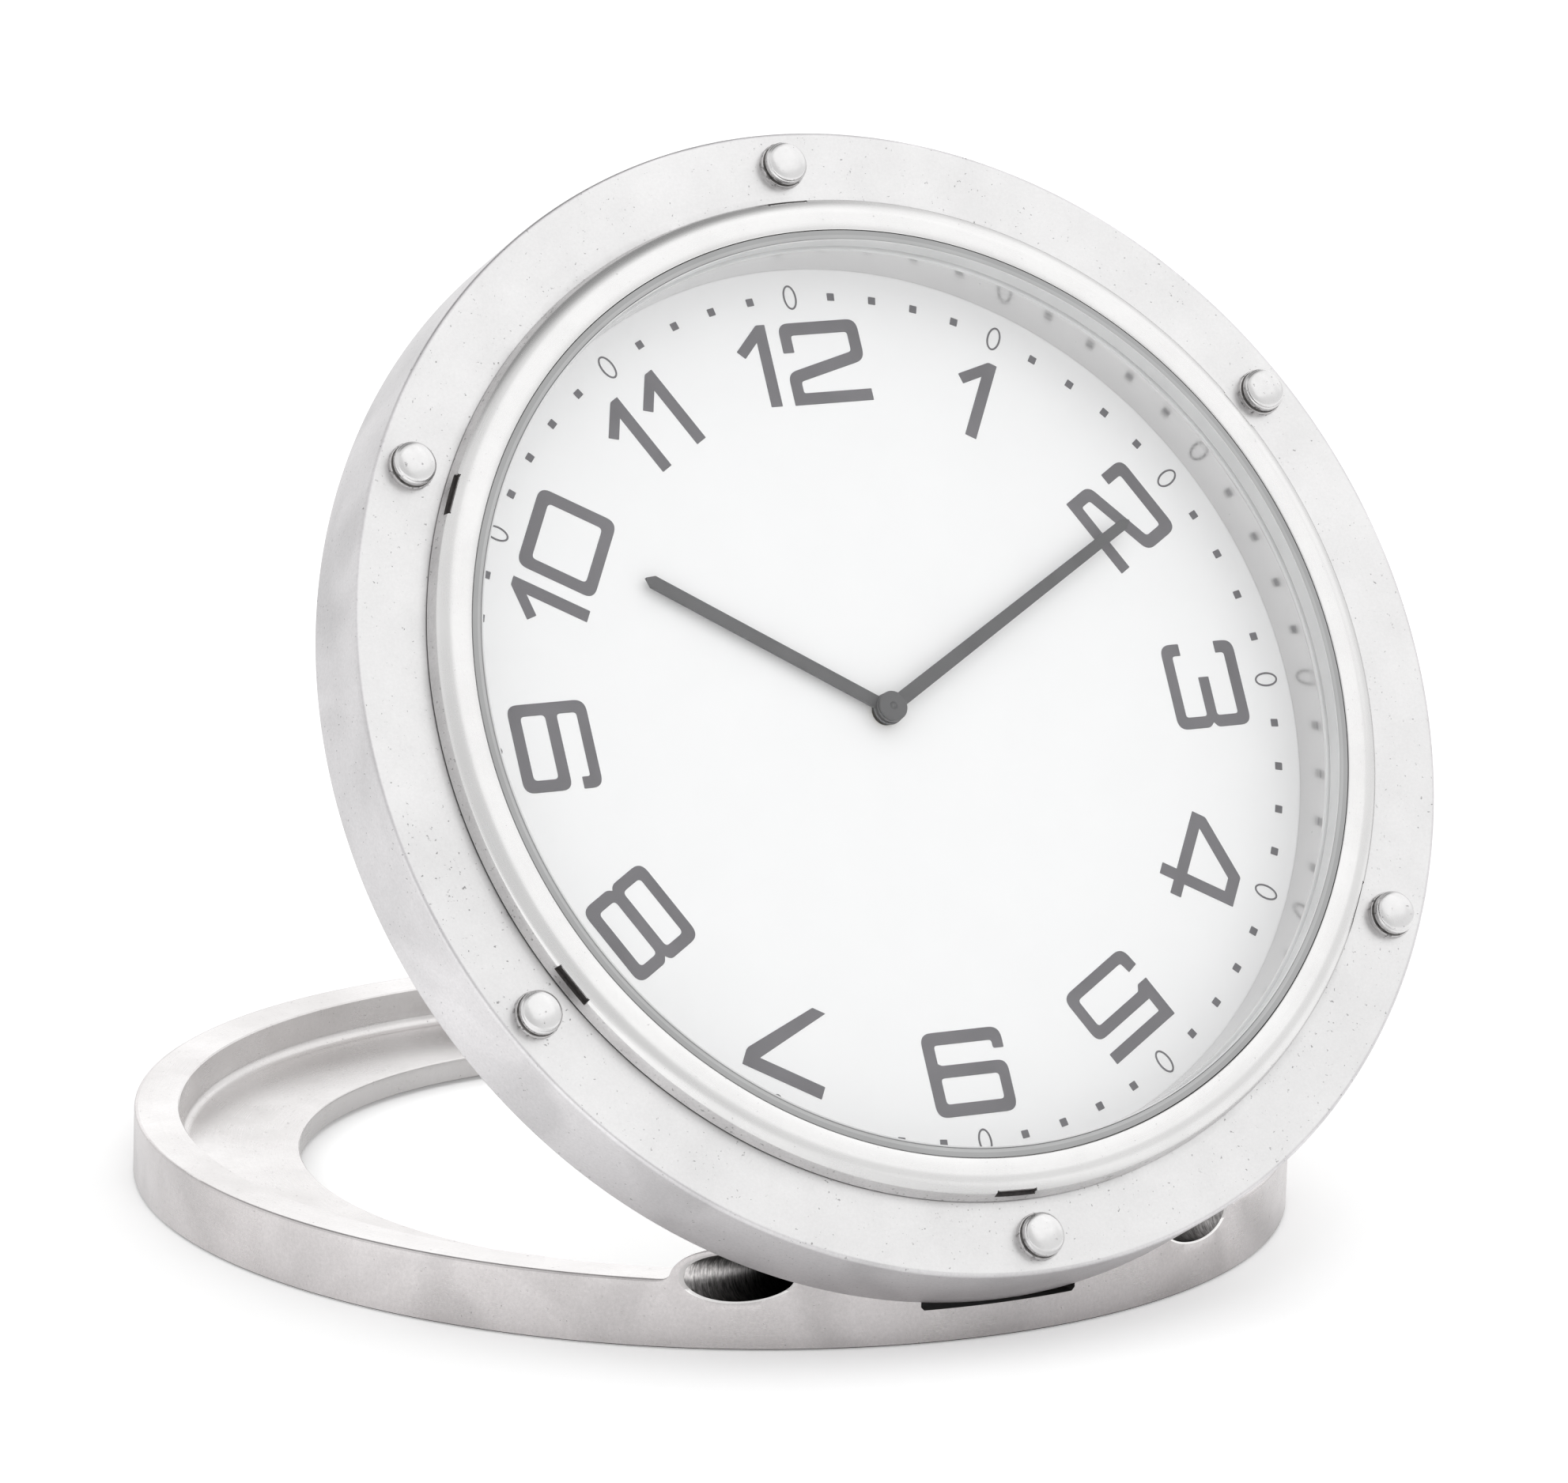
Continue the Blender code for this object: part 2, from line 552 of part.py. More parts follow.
# Studs: turned pins pressed into the flange, one at every second hour
stud_outline = [
    (0, CASE_FRONT - STUD_SHANK_LENGTH),
    (STUD_SHANK_RADIUS, CASE_FRONT - STUD_SHANK_LENGTH),
    (STUD_SHANK_RADIUS, CASE_FRONT + FIT_GAP),
    (STUD_FOOT_RADIUS, CASE_FRONT + FIT_GAP),
    (STUD_FOOT_RADIUS, CASE_FRONT + STUD_FOOT_HEIGHT),
    (STUD_NECK_RADIUS, CASE_FRONT + STUD_FOOT_HEIGHT),
    (STUD_NECK_RADIUS, CASE_FRONT + STUD_FOOT_HEIGHT + STUD_NECK_HEIGHT),
    (STUD_HEAD_RADIUS, CASE_FRONT + STUD_FOOT_HEIGHT + STUD_NECK_HEIGHT),
    (STUD_HEAD_RADIUS, CASE_FRONT + STUD_RIM_HEIGHT),
    (STUD_HEAD_RADIUS / 2, CASE_FRONT + (STUD_RIM_HEIGHT + 3 * STUD_HEIGHT) / 4),
    (0, CASE_FRONT + STUD_HEIGHT),
]
stud_mesh = turned("stud", stud_outline, STUD_SIDES)
for index in range(STUD_COUNT):
    hour = 12 - 2 * index
    stud_place = on_circle(STUD_CIRCLE, pi / 2 + 2 * pi * index / STUD_COUNT)
    piece("stud_" + str(hour), stud_mesh, POLISHED_STEEL, dial_centre, (*stud_place, 0))
    shape(case_ring, "DIFFERENCE",
          round_bar("stud_hole_" + str(hour), STUD_SHANK_RADIUS + SCREW_GAP,
                    CASE_FRONT - STUD_SHANK_LENGTH - SEAT_GAP, CASE_FRONT + OVERRUN,
                    TINY_SIDES, centre=stud_place))

# Hinge knuckle: a barrel with a flat top that seats on the back of the case
knuckle_half = SLOT_HALF - WASHER_THICKNESS - 2 * WASHER_GAP
knuckle_top = -CASE_BACK - SEAT_GAP
knuckle_outline = arc((-HINGE_DROP, -HINGE_BEHIND), KNUCKLE_RADIUS, -pi, 0, TINY_SIDES) + [
    (-HINGE_DROP + KNUCKLE_RADIUS, knuckle_top),
    (-HINGE_DROP - KNUCKLE_RADIUS, knuckle_top),
]
hinge_knuckle = piece("hinge_knuckle",
                      extruded("hinge_knuckle", knuckle_outline, -knuckle_half, knuckle_half, "x"),
                      SATIN_STEEL, dial_centre)

# Bushes pressed into the knuckle, one from each end
bush_inner = PIN_RADIUS + RUNNING_GAP
bush_outer = bush_inner + BUSH_WALL
bush_outline = [
    (bush_inner, knuckle_half - BUSH_LENGTH),
    (bush_outer, knuckle_half - BUSH_LENGTH),
    (bush_outer, knuckle_half),
    (bush_inner, knuckle_half),
]
for side, turn in (("left", -1), ("right", 1)):
    piece("hinge_bush_" + side, turned("hinge_bush_" + side, bush_outline, SMALL_SIDES), BRASS,
          dial_centre, (0, -HINGE_DROP, -HINGE_BEHIND), (0, turn * pi / 2, 0))
    shape(hinge_knuckle, "DIFFERENCE",
          round_bar("bush_seat_" + side, bush_outer + FIT_GAP,
                    turn * (knuckle_half - BUSH_LENGTH - FIT_GAP), turn * (knuckle_half + OVERRUN),
                    along="x", centre=(-HINGE_DROP, -HINGE_BEHIND)))

# Two screws through the middle of the knuckle into the case
knuckle_head_face = KNUCKLE_SCREW_SUNK - HINGE_BEHIND - KNUCKLE_RADIUS
knuckle_screw_outline = [
    (0, knuckle_head_face),
    (KNUCKLE_SCREW_HEAD_RADIUS, knuckle_head_face),
    (KNUCKLE_SCREW_HEAD_RADIUS, knuckle_head_face + KNUCKLE_SCREW_HEAD),
    (KNUCKLE_SCREW_RADIUS, knuckle_head_face + KNUCKLE_SCREW_HEAD),
    (KNUCKLE_SCREW_RADIUS, KNUCKLE_SCREW_GRIP - CASE_BACK),
    (0, KNUCKLE_SCREW_GRIP - CASE_BACK),
]
for side, turn in (("left", -1), ("right", 1)):
    screw_place = (turn * KNUCKLE_SCREW_OFFSET, -HINGE_DROP)
    piece("knuckle_screw_" + side,
          turned("knuckle_screw_" + side, knuckle_screw_outline, TINY_SIDES), SCREW_STEEL,
          dial_centre, (*screw_place, 0))
    shape(hinge_knuckle, "DIFFERENCE",
          round_bar("knuckle_head_hole_" + side, KNUCKLE_SCREW_HEAD_RADIUS + SCREW_GAP,
                    -HINGE_BEHIND - KNUCKLE_RADIUS - OVERRUN,
                    knuckle_head_face + KNUCKLE_SCREW_HEAD + SEAT_GAP, TINY_SIDES,
                    centre=screw_place))
    shape(hinge_knuckle, "DIFFERENCE",
          round_bar("knuckle_shank_hole_" + side, KNUCKLE_SCREW_RADIUS + SCREW_GAP,
                    knuckle_head_face, knuckle_top + OVERRUN, TINY_SIDES, centre=screw_place))
    shape(case_ring, "DIFFERENCE",
          round_bar("case_screw_hole_" + side, KNUCKLE_SCREW_RADIUS + SCREW_GAP,
                    -CASE_BACK - OVERRUN, KNUCKLE_SCREW_GRIP - CASE_BACK + SEAT_GAP, TINY_SIDES,
                    centre=screw_place))

# Bezel: a turned ring whose spigot drops into the case, with small milled notches
spigot_bottom = CASE_FRONT - BEZEL_SPIGOT_DEPTH
spigot_radius = BEZEL_SEAT_RADIUS - SEAT_GAP - FIT_GAP
bezel_outline = [
    (BEZEL_INNER_RADIUS, BEZEL_TOP_HEIGHT),
    (BEZEL_INNER_RADIUS, spigot_bottom),
    (spigot_radius, spigot_bottom),
    (spigot_radius, CASE_FRONT + SEAT_GAP),
    (BEZEL_FOOT_RADIUS, CASE_FRONT + SEAT_GAP),
    (BEZEL_EDGE_RADIUS, BEZEL_EDGE_HEIGHT),
    (BEZEL_TOP_RADIUS, BEZEL_TOP_HEIGHT),
]
bezel = piece("bezel", turned("bezel", bezel_outline), POLISHED_STEEL, dial_centre)
notch_circle = BEZEL_EDGE_RADIUS + BEZEL_NOTCH_RADIUS - BEZEL_NOTCH_BITE
for index, degrees_from_top in enumerate(BEZEL_NOTCH_ANGLES):
    shape(bezel, "DIFFERENCE",
          round_bar("bezel_notch_" + str(index), BEZEL_NOTCH_RADIUS,
                    BEZEL_EDGE_HEIGHT - BEZEL_NOTCH_DEPTH, BEZEL_TOP_HEIGHT + OVERRUN,
                    centre=on_circle(notch_circle, pi / 2 - radians(degrees_from_top))))

# Crystal: a flat glass with a ground edge
crystal_bottom = BEZEL_TOP_HEIGHT - CRYSTAL_THICKNESS
crystal_outline = [
    (0, crystal_bottom),
    (CRYSTAL_RADIUS, crystal_bottom),
    (CRYSTAL_RADIUS, BEZEL_TOP_HEIGHT - CRYSTAL_BEVEL),
    (CRYSTAL_RADIUS - CRYSTAL_BEVEL, BEZEL_TOP_HEIGHT),
    (0, BEZEL_TOP_HEIGHT),
]
piece("crystal", turned("crystal", crystal_outline), CLEAR_GLASS, dial_centre)

# Gasket: an L section round and under the glass
gasket_outer = BEZEL_INNER_RADIUS - SEAT_GAP
gasket_inner = CRYSTAL_RADIUS + SEAT_GAP + FIT_GAP
gasket_step = crystal_bottom - SEAT_GAP
gasket_outline = [
    (gasket_outer, BEZEL_TOP_HEIGHT - FIT_GAP),
    (gasket_inner, BEZEL_TOP_HEIGHT - FIT_GAP),
    (gasket_inner, gasket_step),
    (gasket_inner - GASKET_FOOT, gasket_step),
    (gasket_inner - GASKET_FOOT, gasket_step - GASKET_FOOT_HEIGHT),
    (gasket_outer, gasket_step - GASKET_FOOT_HEIGHT),
]
piece("crystal_gasket", turned("crystal_gasket", gasket_outline), GREY_GASKET, dial_centre)

# Wall ring between the dial and the glass
rehaut_top = gasket_step - GASKET_FOOT_HEIGHT - SEAT_GAP
rehaut_outline = [
    (REHAUT_FOOT_RADIUS, SEAT_GAP),
    (REHAUT_TOP_RADIUS, rehaut_top),
    (REHAUT_TOP_RADIUS + REHAUT_WALL, rehaut_top),
    (REHAUT_TOP_RADIUS + REHAUT_WALL, SEAT_GAP),
]
piece("rehaut_ring", turned("rehaut_ring", rehaut_outline), POLISHED_STEEL, dial_centre)

# Dial: a thin white disc on the case's ledge
dial_hole = PIPE_RADIUS + DIAL_HOLE_CLEARANCE
dial_outline = [
    (dial_hole, 0),
    (dial_hole, -DIAL_THICKNESS),
    (DIAL_RADIUS, -DIAL_THICKNESS),
    (DIAL_RADIUS, 0),
]
piece("dial", turned("dial", dial_outline), DIAL_WHITE, dial_centre)


def hand(name, length, root, tip, point, hub, hole, height, angle):
    """A flat bar with a pointed tip and a round hub that is bored for its arbor."""
    hub_start = asin(root / hub)
    outline = [(0, length), (-tip, length - point)]
    outline += arc((0, 0), hub, pi / 2 + hub_start, 5 * pi / 2 - hub_start, SMALL_SIDES)
    outline += [(tip, length - point)]
    blade = piece(name, extruded(name, outline, height, height + HAND_THICKNESS), HAND_GREY,
                  dial_centre, turn=(0, 0, -angle))
    shape(blade, "DIFFERENCE",
          round_bar(name + "_hole", hole, height - OVERRUN, height + OVERRUN, STUD_SIDES))


hand("hour_hand", HOUR_LENGTH, HOUR_HALF_WIDTH, HOUR_HALF_WIDTH, HOUR_POINT, HOUR_HUB_RADIUS,
     PIPE_RADIUS + FIT_GAP, HOUR_HAND_HEIGHT, HOUR_ANGLE)
hand("minute_hand", MINUTE_LENGTH, MINUTE_ROOT_HALF_WIDTH, MINUTE_TIP_HALF_WIDTH, MINUTE_POINT,
     MINUTE_HUB_RADIUS, ARBOR_RADIUS + FIT_GAP, MINUTE_HAND_HEIGHT, MINUTE_ANGLE)

# Cap on the end of the arbor
cap_bottom = MINUTE_HAND_HEIGHT + HAND_THICKNESS + FIT_GAP
cap_outline = [
    (0, cap_bottom),
    (CAP_RADIUS, cap_bottom),
    (CAP_RADIUS, cap_bottom + CAP_THICKNESS - FIT_GAP),
    (CAP_RADIUS - FIT_GAP, cap_bottom + CAP_THICKNESS),
    (0, cap_bottom + CAP_THICKNESS),
]
piece("hand_cap", turned("hand_cap", cap_outline, SMALL_SIDES), HAND_GREY, dial_centre)

# Holder: a plastic ring that carries the movement in the case
holder_inner = MOVEMENT_RADIUS - MOVEMENT_STEP
holder_step = PLATE_FRONT + PLATE_THICKNESS + SEAT_GAP
holder_outline = [
    (MOVEMENT_RADIUS + SEAT_GAP, -HOLDER_FRONT),
    (MOVEMENT_RADIUS + SEAT_GAP, -holder_step),
    (holder_inner, -holder_step),
    (holder_inner, -HOLDER_DEPTH),
    (HOLDER_RADIUS, -HOLDER_DEPTH),
    (HOLDER_RADIUS, -HOLDER_FRONT),
]
piece("movement_holder", turned("movement_holder", holder_outline, MIDDLE_SIDES),
      MOVEMENT_PLASTIC, dial_centre)

# Places of the gear centres
motion_reach = MOTION_MODULE * (CANNON_TEETH + MINUTE_WHEEL_TEETH) / 2
centre_reach = CENTRE_MODULE * (CENTRE_TEETH + TRAIN_PINION_TEETH) / 2
rotor_reach = ROTOR_MODULE * (INTERMEDIATE_TEETH + TRAIN_PINION_TEETH) / 2
minute_wheel_place = on_circle(motion_reach, MINUTE_WHEEL_BEARING)
intermediate_place = on_circle(centre_reach, INTERMEDIATE_BEARING)
rotor_step = on_circle(rotor_reach, ROTOR_BEARING)
rotor_place = (intermediate_place[0] + rotor_step[0], intermediate_place[1] + rotor_step[1])

# Main plate with three pillars and the post of the minute wheel
plate_back = -PLATE_FRONT - PLATE_THICKNESS
plate_outline = [
    (PIPE_RADIUS + RUNNING_GAP, -PLATE_FRONT),
    (PIPE_RADIUS + RUNNING_GAP, plate_back),
    (MOVEMENT_RADIUS, plate_back),
    (MOVEMENT_RADIUS, -PLATE_FRONT),
]
main_plate = piece("main_plate", turned("main_plate", plate_outline, MIDDLE_SIDES),
                   BLACK_PLASTIC, dial_centre)
pillar_end = SEAT_GAP - BRIDGE_FRONT
for index, pillar_place in enumerate(PILLAR_PLACES):
    shape(main_plate, "UNION",
          round_bar("pillar_" + str(index), PILLAR_RADIUS, pillar_end, plate_back + FIT_GAP,
                    TINY_SIDES, centre=pillar_place))
    shape(main_plate, "DIFFERENCE",
          round_bar("pillar_hole_" + str(index), MOVEMENT_SCREW_RADIUS + SCREW_GAP,
                    pillar_end - OVERRUN, pillar_end + MOVEMENT_SCREW_GRIP, TINY_SIDES,
                    centre=pillar_place))
shape(main_plate, "UNION",
      round_bar("minute_wheel_post", POST_RADIUS, -MINUTE_WHEEL_DEPTH - PINION_MARGIN,
                plate_back + FIT_GAP, TINY_SIDES, centre=minute_wheel_place))
for label, pivot_place in (("intermediate", intermediate_place), ("rotor", rotor_place)):
    shape(main_plate, "DIFFERENCE",
          round_bar("plate_pivot_" + label, PIVOT_RADIUS + RUNNING_GAP, plate_back - OVERRUN,
                    plate_back + PIVOT_DEPTH + SEAT_GAP, TINY_SIDES, centre=pivot_place))

# Train bridge: the rear plate of the movement, notched for the battery
bridge_back = -BRIDGE_FRONT - BRIDGE_THICKNESS
train_bridge = piece("train_bridge",
                     round_bar("train_bridge", BRIDGE_RADIUS, bridge_back, -BRIDGE_FRONT,
                               MIDDLE_SIDES, centre=BRIDGE_CENTRE),
                     BLACK_PLASTIC, dial_centre)
clip_inner = BATTERY_RADIUS + 2 * SEAT_GAP
clip_outer = clip_inner + CLIP_THICKNESS
bridge_holes = [
    ("battery", BATTERY_PLACE, clip_outer + SEAT_GAP, SMALL_SIDES),
    ("arbor", (0, 0), ARBOR_RADIUS + RUNNING_GAP, TINY_SIDES),
    ("intermediate", intermediate_place, PIVOT_RADIUS + RUNNING_GAP, TINY_SIDES),
    ("rotor", rotor_place, PIVOT_RADIUS + RUNNING_GAP, TINY_SIDES),
]
for index, pillar_place in enumerate(PILLAR_PLACES):
    bridge_holes.append(("screw_" + str(index), pillar_place, MOVEMENT_SCREW_RADIUS + SCREW_GAP,
                         TINY_SIDES))
for label, hole_place, hole_radius, hole_sides in bridge_holes:
    shape(train_bridge, "DIFFERENCE",
          round_bar("bridge_hole_" + label, hole_radius, bridge_back - OVERRUN,
                    OVERRUN - BRIDGE_FRONT, hole_sides, centre=hole_place))

# Bridge screws
movement_head_seat = bridge_back - FIT_GAP
movement_screw_outline = [
    (0, movement_head_seat - MOVEMENT_SCREW_HEAD),
    (MOVEMENT_SCREW_HEAD_RADIUS, movement_head_seat - MOVEMENT_SCREW_HEAD),
    (MOVEMENT_SCREW_HEAD_RADIUS, movement_head_seat),
    (MOVEMENT_SCREW_RADIUS, movement_head_seat),
    (MOVEMENT_SCREW_RADIUS, pillar_end + MOVEMENT_SCREW_GRIP - SEAT_GAP),
    (0, pillar_end + MOVEMENT_SCREW_GRIP - SEAT_GAP),
]
movement_screw_mesh = turned("bridge_screw", movement_screw_outline, TINY_SIDES)
for index, pillar_place in enumerate(PILLAR_PLACES):
    piece("bridge_screw_" + str(index + 1), movement_screw_mesh, SCREW_STEEL, dial_centre,
          (*pillar_place, 0))


def gear(name, teeth, module, back, front, phase=0):
    """A spur gear with straight-sided teeth; phase turns its first tooth from +X."""
    pitch = 2 * pi / teeth
    tip_radius = module * (teeth / 2 + ADDENDUM_SHARE)
    root_radius = module * (teeth / 2 - DEDENDUM_SHARE)
    outline = []
    for tooth in range(teeth):
        middle = phase + tooth * pitch
        outline.append(on_circle(root_radius, middle - pitch * ROOT_WIDTH_SHARE / 2))
        outline.append(on_circle(tip_radius, middle - pitch * TIP_WIDTH_SHARE / 2))
        outline.append(on_circle(tip_radius, middle + pitch * TIP_WIDTH_SHARE / 2))
        outline.append(on_circle(root_radius, middle + pitch * ROOT_WIDTH_SHARE / 2))
    return extruded(name, outline, back, front)


def mesh_phase(bearing, driver_phase, driver_teeth, driven_teeth):
    """The phase that puts a driven gear's gap opposite the driver's tooth at this bearing."""
    turned_teeth = (bearing - driver_phase) * driver_teeth / (2 * pi)
    return bearing + pi + (turned_teeth + 0.5) * 2 * pi / driven_teeth


# Minute arbor with its cannon pinion; the hand, the cap and the knob turn with it
knob_front = -COVER_DEPTH - KNOB_GAP
arbor_end = knob_front - KNOB_THICKNESS / 2
minute_arbor = piece("minute_arbor",
                     round_bar("minute_arbor", ARBOR_RADIUS, arbor_end,
                               MINUTE_HAND_HEIGHT + HAND_THICKNESS, STUD_SIDES),
                     SCREW_STEEL, dial_centre)
shape(minute_arbor, "UNION",
      gear("cannon_pinion", CANNON_TEETH, MOTION_MODULE, -MINUTE_WHEEL_DEPTH - PINION_MARGIN,
           -MINUTE_WHEEL_DEPTH + MINUTE_WHEEL_THICKNESS + PINION_MARGIN))

# Minute wheel and its pinion, on the main plate's post
minute_wheel_phase = mesh_phase(MINUTE_WHEEL_BEARING, 0, CANNON_TEETH, MINUTE_WHEEL_TEETH)
minute_wheel = piece("minute_wheel",
                     gear("minute_wheel", MINUTE_WHEEL_TEETH, MOTION_MODULE,
                          -MINUTE_WHEEL_DEPTH, -MINUTE_WHEEL_DEPTH + MINUTE_WHEEL_THICKNESS,
                          minute_wheel_phase),
                     BRASS, dial_centre, (*minute_wheel_place, 0))
shape(minute_wheel, "UNION",
      gear("minute_pinion", MINUTE_PINION_TEETH, MOTION_MODULE,
           -MINUTE_WHEEL_DEPTH + MINUTE_WHEEL_THICKNESS - FIT_GAP, plate_back - SEAT_GAP))
shape(minute_wheel, "DIFFERENCE",
      round_bar("minute_wheel_bore", POST_RADIUS + RUNNING_GAP, -MINUTE_WHEEL_DEPTH - OVERRUN,
                plate_back + OVERRUN, STUD_SIDES))

# Hour wheel with the pipe that carries the hour hand
hour_wheel_phase = mesh_phase(MINUTE_WHEEL_BEARING + pi, 0, MINUTE_PINION_TEETH, HOUR_WHEEL_TEETH)
hour_wheel = piece("hour_wheel",
                   gear("hour_wheel", HOUR_WHEEL_TEETH, MOTION_MODULE, -HOUR_WHEEL_DEPTH,
                        -HOUR_WHEEL_DEPTH + HOUR_WHEEL_THICKNESS, hour_wheel_phase),
                   BRASS, dial_centre)
pipe_end = HOUR_HAND_HEIGHT + HAND_THICKNESS
shape(hour_wheel, "UNION",
      round_bar("hour_pipe", PIPE_RADIUS, -HOUR_WHEEL_DEPTH + FIT_GAP, pipe_end, STUD_SIDES))
shape(hour_wheel, "DIFFERENCE",
      round_bar("hour_pipe_bore", ARBOR_RADIUS + RUNNING_GAP, -HOUR_WHEEL_DEPTH - OVERRUN,
                pipe_end + OVERRUN, STUD_SIDES))

# Centre wheel: turns with the arbor through a friction fit
centre_wheel = piece("centre_wheel",
                     gear("centre_wheel", CENTRE_TEETH, CENTRE_MODULE, -CENTRE_WHEEL_DEPTH,
                          -CENTRE_WHEEL_DEPTH + CENTRE_WHEEL_THICKNESS),
                     BRASS, dial_centre)
shape(centre_wheel, "DIFFERENCE",
      round_bar("centre_wheel_bore", ARBOR_RADIUS + RUNNING_GAP, -CENTRE_WHEEL_DEPTH - OVERRUN,
                -CENTRE_WHEEL_DEPTH + OVERRUN, STUD_SIDES))

# Intermediate wheel with its pinion and pivots
intermediate_phase = mesh_phase(INTERMEDIATE_BEARING, 0, CENTRE_TEETH, TRAIN_PINION_TEETH)
intermediate_wheel = piece("intermediate_wheel",
                           gear("intermediate_wheel", INTERMEDIATE_TEETH, ROTOR_MODULE,
                                -INTERMEDIATE_DEPTH, -INTERMEDIATE_DEPTH + INTERMEDIATE_THICKNESS),
                           BRASS, dial_centre, (*intermediate_place, 0))
shape(intermediate_wheel, "UNION",
      gear("intermediate_pinion", TRAIN_PINION_TEETH, CENTRE_MODULE,
           -INTERMEDIATE_DEPTH + INTERMEDIATE_THICKNESS - FIT_GAP,
           -CENTRE_WHEEL_DEPTH + CENTRE_WHEEL_THICKNESS + PINION_MARGIN, intermediate_phase))
shape(intermediate_wheel, "UNION",
      round_bar("intermediate_arbor", PIVOT_RADIUS, -BRIDGE_FRONT - PIVOT_DEPTH,
                plate_back + PIVOT_DEPTH, TINY_SIDES))

# Rotor: a magnet with a pinion, between the same two plates
rotor_pinion_phase = mesh_phase(ROTOR_BEARING, 0, INTERMEDIATE_TEETH, TRAIN_PINION_TEETH)
rotor = piece("rotor",
              round_bar("rotor", ROTOR_RADIUS, -ROTOR_FRONT - ROTOR_THICKNESS, -ROTOR_FRONT,
                        SMALL_SIDES),
              SCREW_STEEL, dial_centre, (*rotor_place, 0))
shape(rotor, "UNION",
      gear("rotor_pinion", TRAIN_PINION_TEETH, ROTOR_MODULE, -ROTOR_FRONT - FIT_GAP,
           -INTERMEDIATE_DEPTH + INTERMEDIATE_THICKNESS + PINION_MARGIN, rotor_pinion_phase))
shape(rotor, "UNION",
      round_bar("rotor_arbor", PIVOT_RADIUS, -BRIDGE_FRONT - PIVOT_DEPTH,
                plate_back + PIVOT_DEPTH, TINY_SIDES))

# Coil on its iron core
coil_outline = [
    (COIL_BORE_RADIUS, -COIL_HALF_LENGTH),
    (COIL_RADIUS, -COIL_HALF_LENGTH),
    (COIL_RADIUS, COIL_HALF_LENGTH),
    (COIL_BORE_RADIUS, COIL_HALF_LENGTH),
]
piece("coil", turned("coil", coil_outline, SMALL_SIDES), COPPER, dial_centre,
      (0, COIL_PLACE, -COIL_DEPTH), (0, pi / 2, 0))
piece("coil_core",
      box("coil_core",
          (-CORE_HALF_LENGTH, COIL_PLACE - CORE_HALF_WIDTH, -COIL_DEPTH - CORE_HALF_THICKNESS),
          (CORE_HALF_LENGTH, COIL_PLACE + CORE_HALF_WIDTH, -COIL_DEPTH + CORE_HALF_THICKNESS)),
      SCREW_STEEL, dial_centre)

# Stator: a plate that joins the core's ends and rings the rotor
stator_low = COIL_PLACE - STATOR_LEG_REACH
stator_inner = CORE_HALF_LENGTH - STATOR_LEG_WIDTH
stator_shoulder = COIL_PLACE + COIL_RADIUS + STATOR_COIL_GAP
stator_outline = [
    (-CORE_HALF_LENGTH, stator_low),
    (-stator_inner, stator_low),
    (-stator_inner, stator_shoulder),
    (stator_inner, stator_shoulder),
    (stator_inner, stator_low),
    (CORE_HALF_LENGTH, stator_low),
    (CORE_HALF_LENGTH, STATOR_TOP_EDGE),
    (STATOR_STEP, STATOR_TOP_EDGE),
    (STATOR_STEP, STATOR_BACK_EDGE),
    (-CORE_HALF_LENGTH, STATOR_BACK_EDGE),
]
stator = piece("stator",
               extruded("stator", stator_outline, -STATOR_FRONT - STATOR_THICKNESS, -STATOR_FRONT),
               SCREW_STEEL, dial_centre)
shape(stator, "DIFFERENCE",
      round_bar("stator_hole", ROTOR_RADIUS + STATOR_HOLE_GAP, -STATOR_FRONT - OVERRUN,
                OVERRUN - STATOR_FRONT, centre=rotor_place))

# Circuit board, with the quartz crystal's can and the chip behind it
board_back = -BOARD_FRONT - BOARD_THICKNESS
piece("circuit_board",
      box("circuit_board", (BOARD_LEFT, BOARD_LOW, board_back),
          (BOARD_RIGHT, BOARD_HIGH, -BOARD_FRONT)),
      BOARD_GREEN, dial_centre)
piece("quartz_crystal",
      round_bar("quartz_crystal", CAN_RADIUS, CAN_PLACE[0], CAN_PLACE[0] + CAN_LENGTH,
                TINY_SIDES, "x", (CAN_PLACE[1], board_back - SEAT_GAP - CAN_RADIUS)),
      POLISHED_STEEL, dial_centre)
piece("clock_chip",
      box("clock_chip",
          (CHIP_PLACE[0] - CHIP_HALF_LENGTH, CHIP_PLACE[1] - CHIP_HALF_WIDTH,
           board_back - SEAT_GAP - CHIP_THICKNESS),
          (CHIP_PLACE[0] + CHIP_HALF_LENGTH, CHIP_PLACE[1] + CHIP_HALF_WIDTH,
           board_back - SEAT_GAP)),
      BLACK_PLASTIC, dial_centre)

# Button cell with its two contacts
battery_back = -BATTERY_FRONT - BATTERY_THICKNESS
battery_outline = [
    (0, battery_back),
    (BATTERY_RADIUS, battery_back),
    (BATTERY_RADIUS, -BATTERY_FRONT - BATTERY_BEVEL),
    (BATTERY_RADIUS - BATTERY_BEVEL, -BATTERY_FRONT),
    (0, -BATTERY_FRONT),
]
piece("battery", turned("battery", battery_outline, SMALL_SIDES), POLISHED_STEEL, dial_centre,
      (*BATTERY_PLACE, 0))
contact_back = SEAT_GAP + FIT_GAP - BATTERY_FRONT
contact_front = contact_back + CONTACT_THICKNESS
contact_outline = [
    (BATTERY_PLACE[1], contact_back),
    (CONTACT_END, contact_back),
    (CONTACT_END, board_back - SEAT_GAP),
    (CONTACT_END - CONTACT_THICKNESS, board_back - SEAT_GAP),
    (CONTACT_END - CONTACT_THICKNESS, contact_front),
    (BATTERY_PLACE[1], contact_front),
]
piece("battery_contact",
      extruded("battery_contact", contact_outline, CONTACT_LEFT, CONTACT_LEFT + CONTACT_WIDTH, "x"),
      BRASS, dial_centre)
clip_outline = arc(BATTERY_PLACE, clip_outer, CLIP_START, CLIP_END, TINY_SIDES)
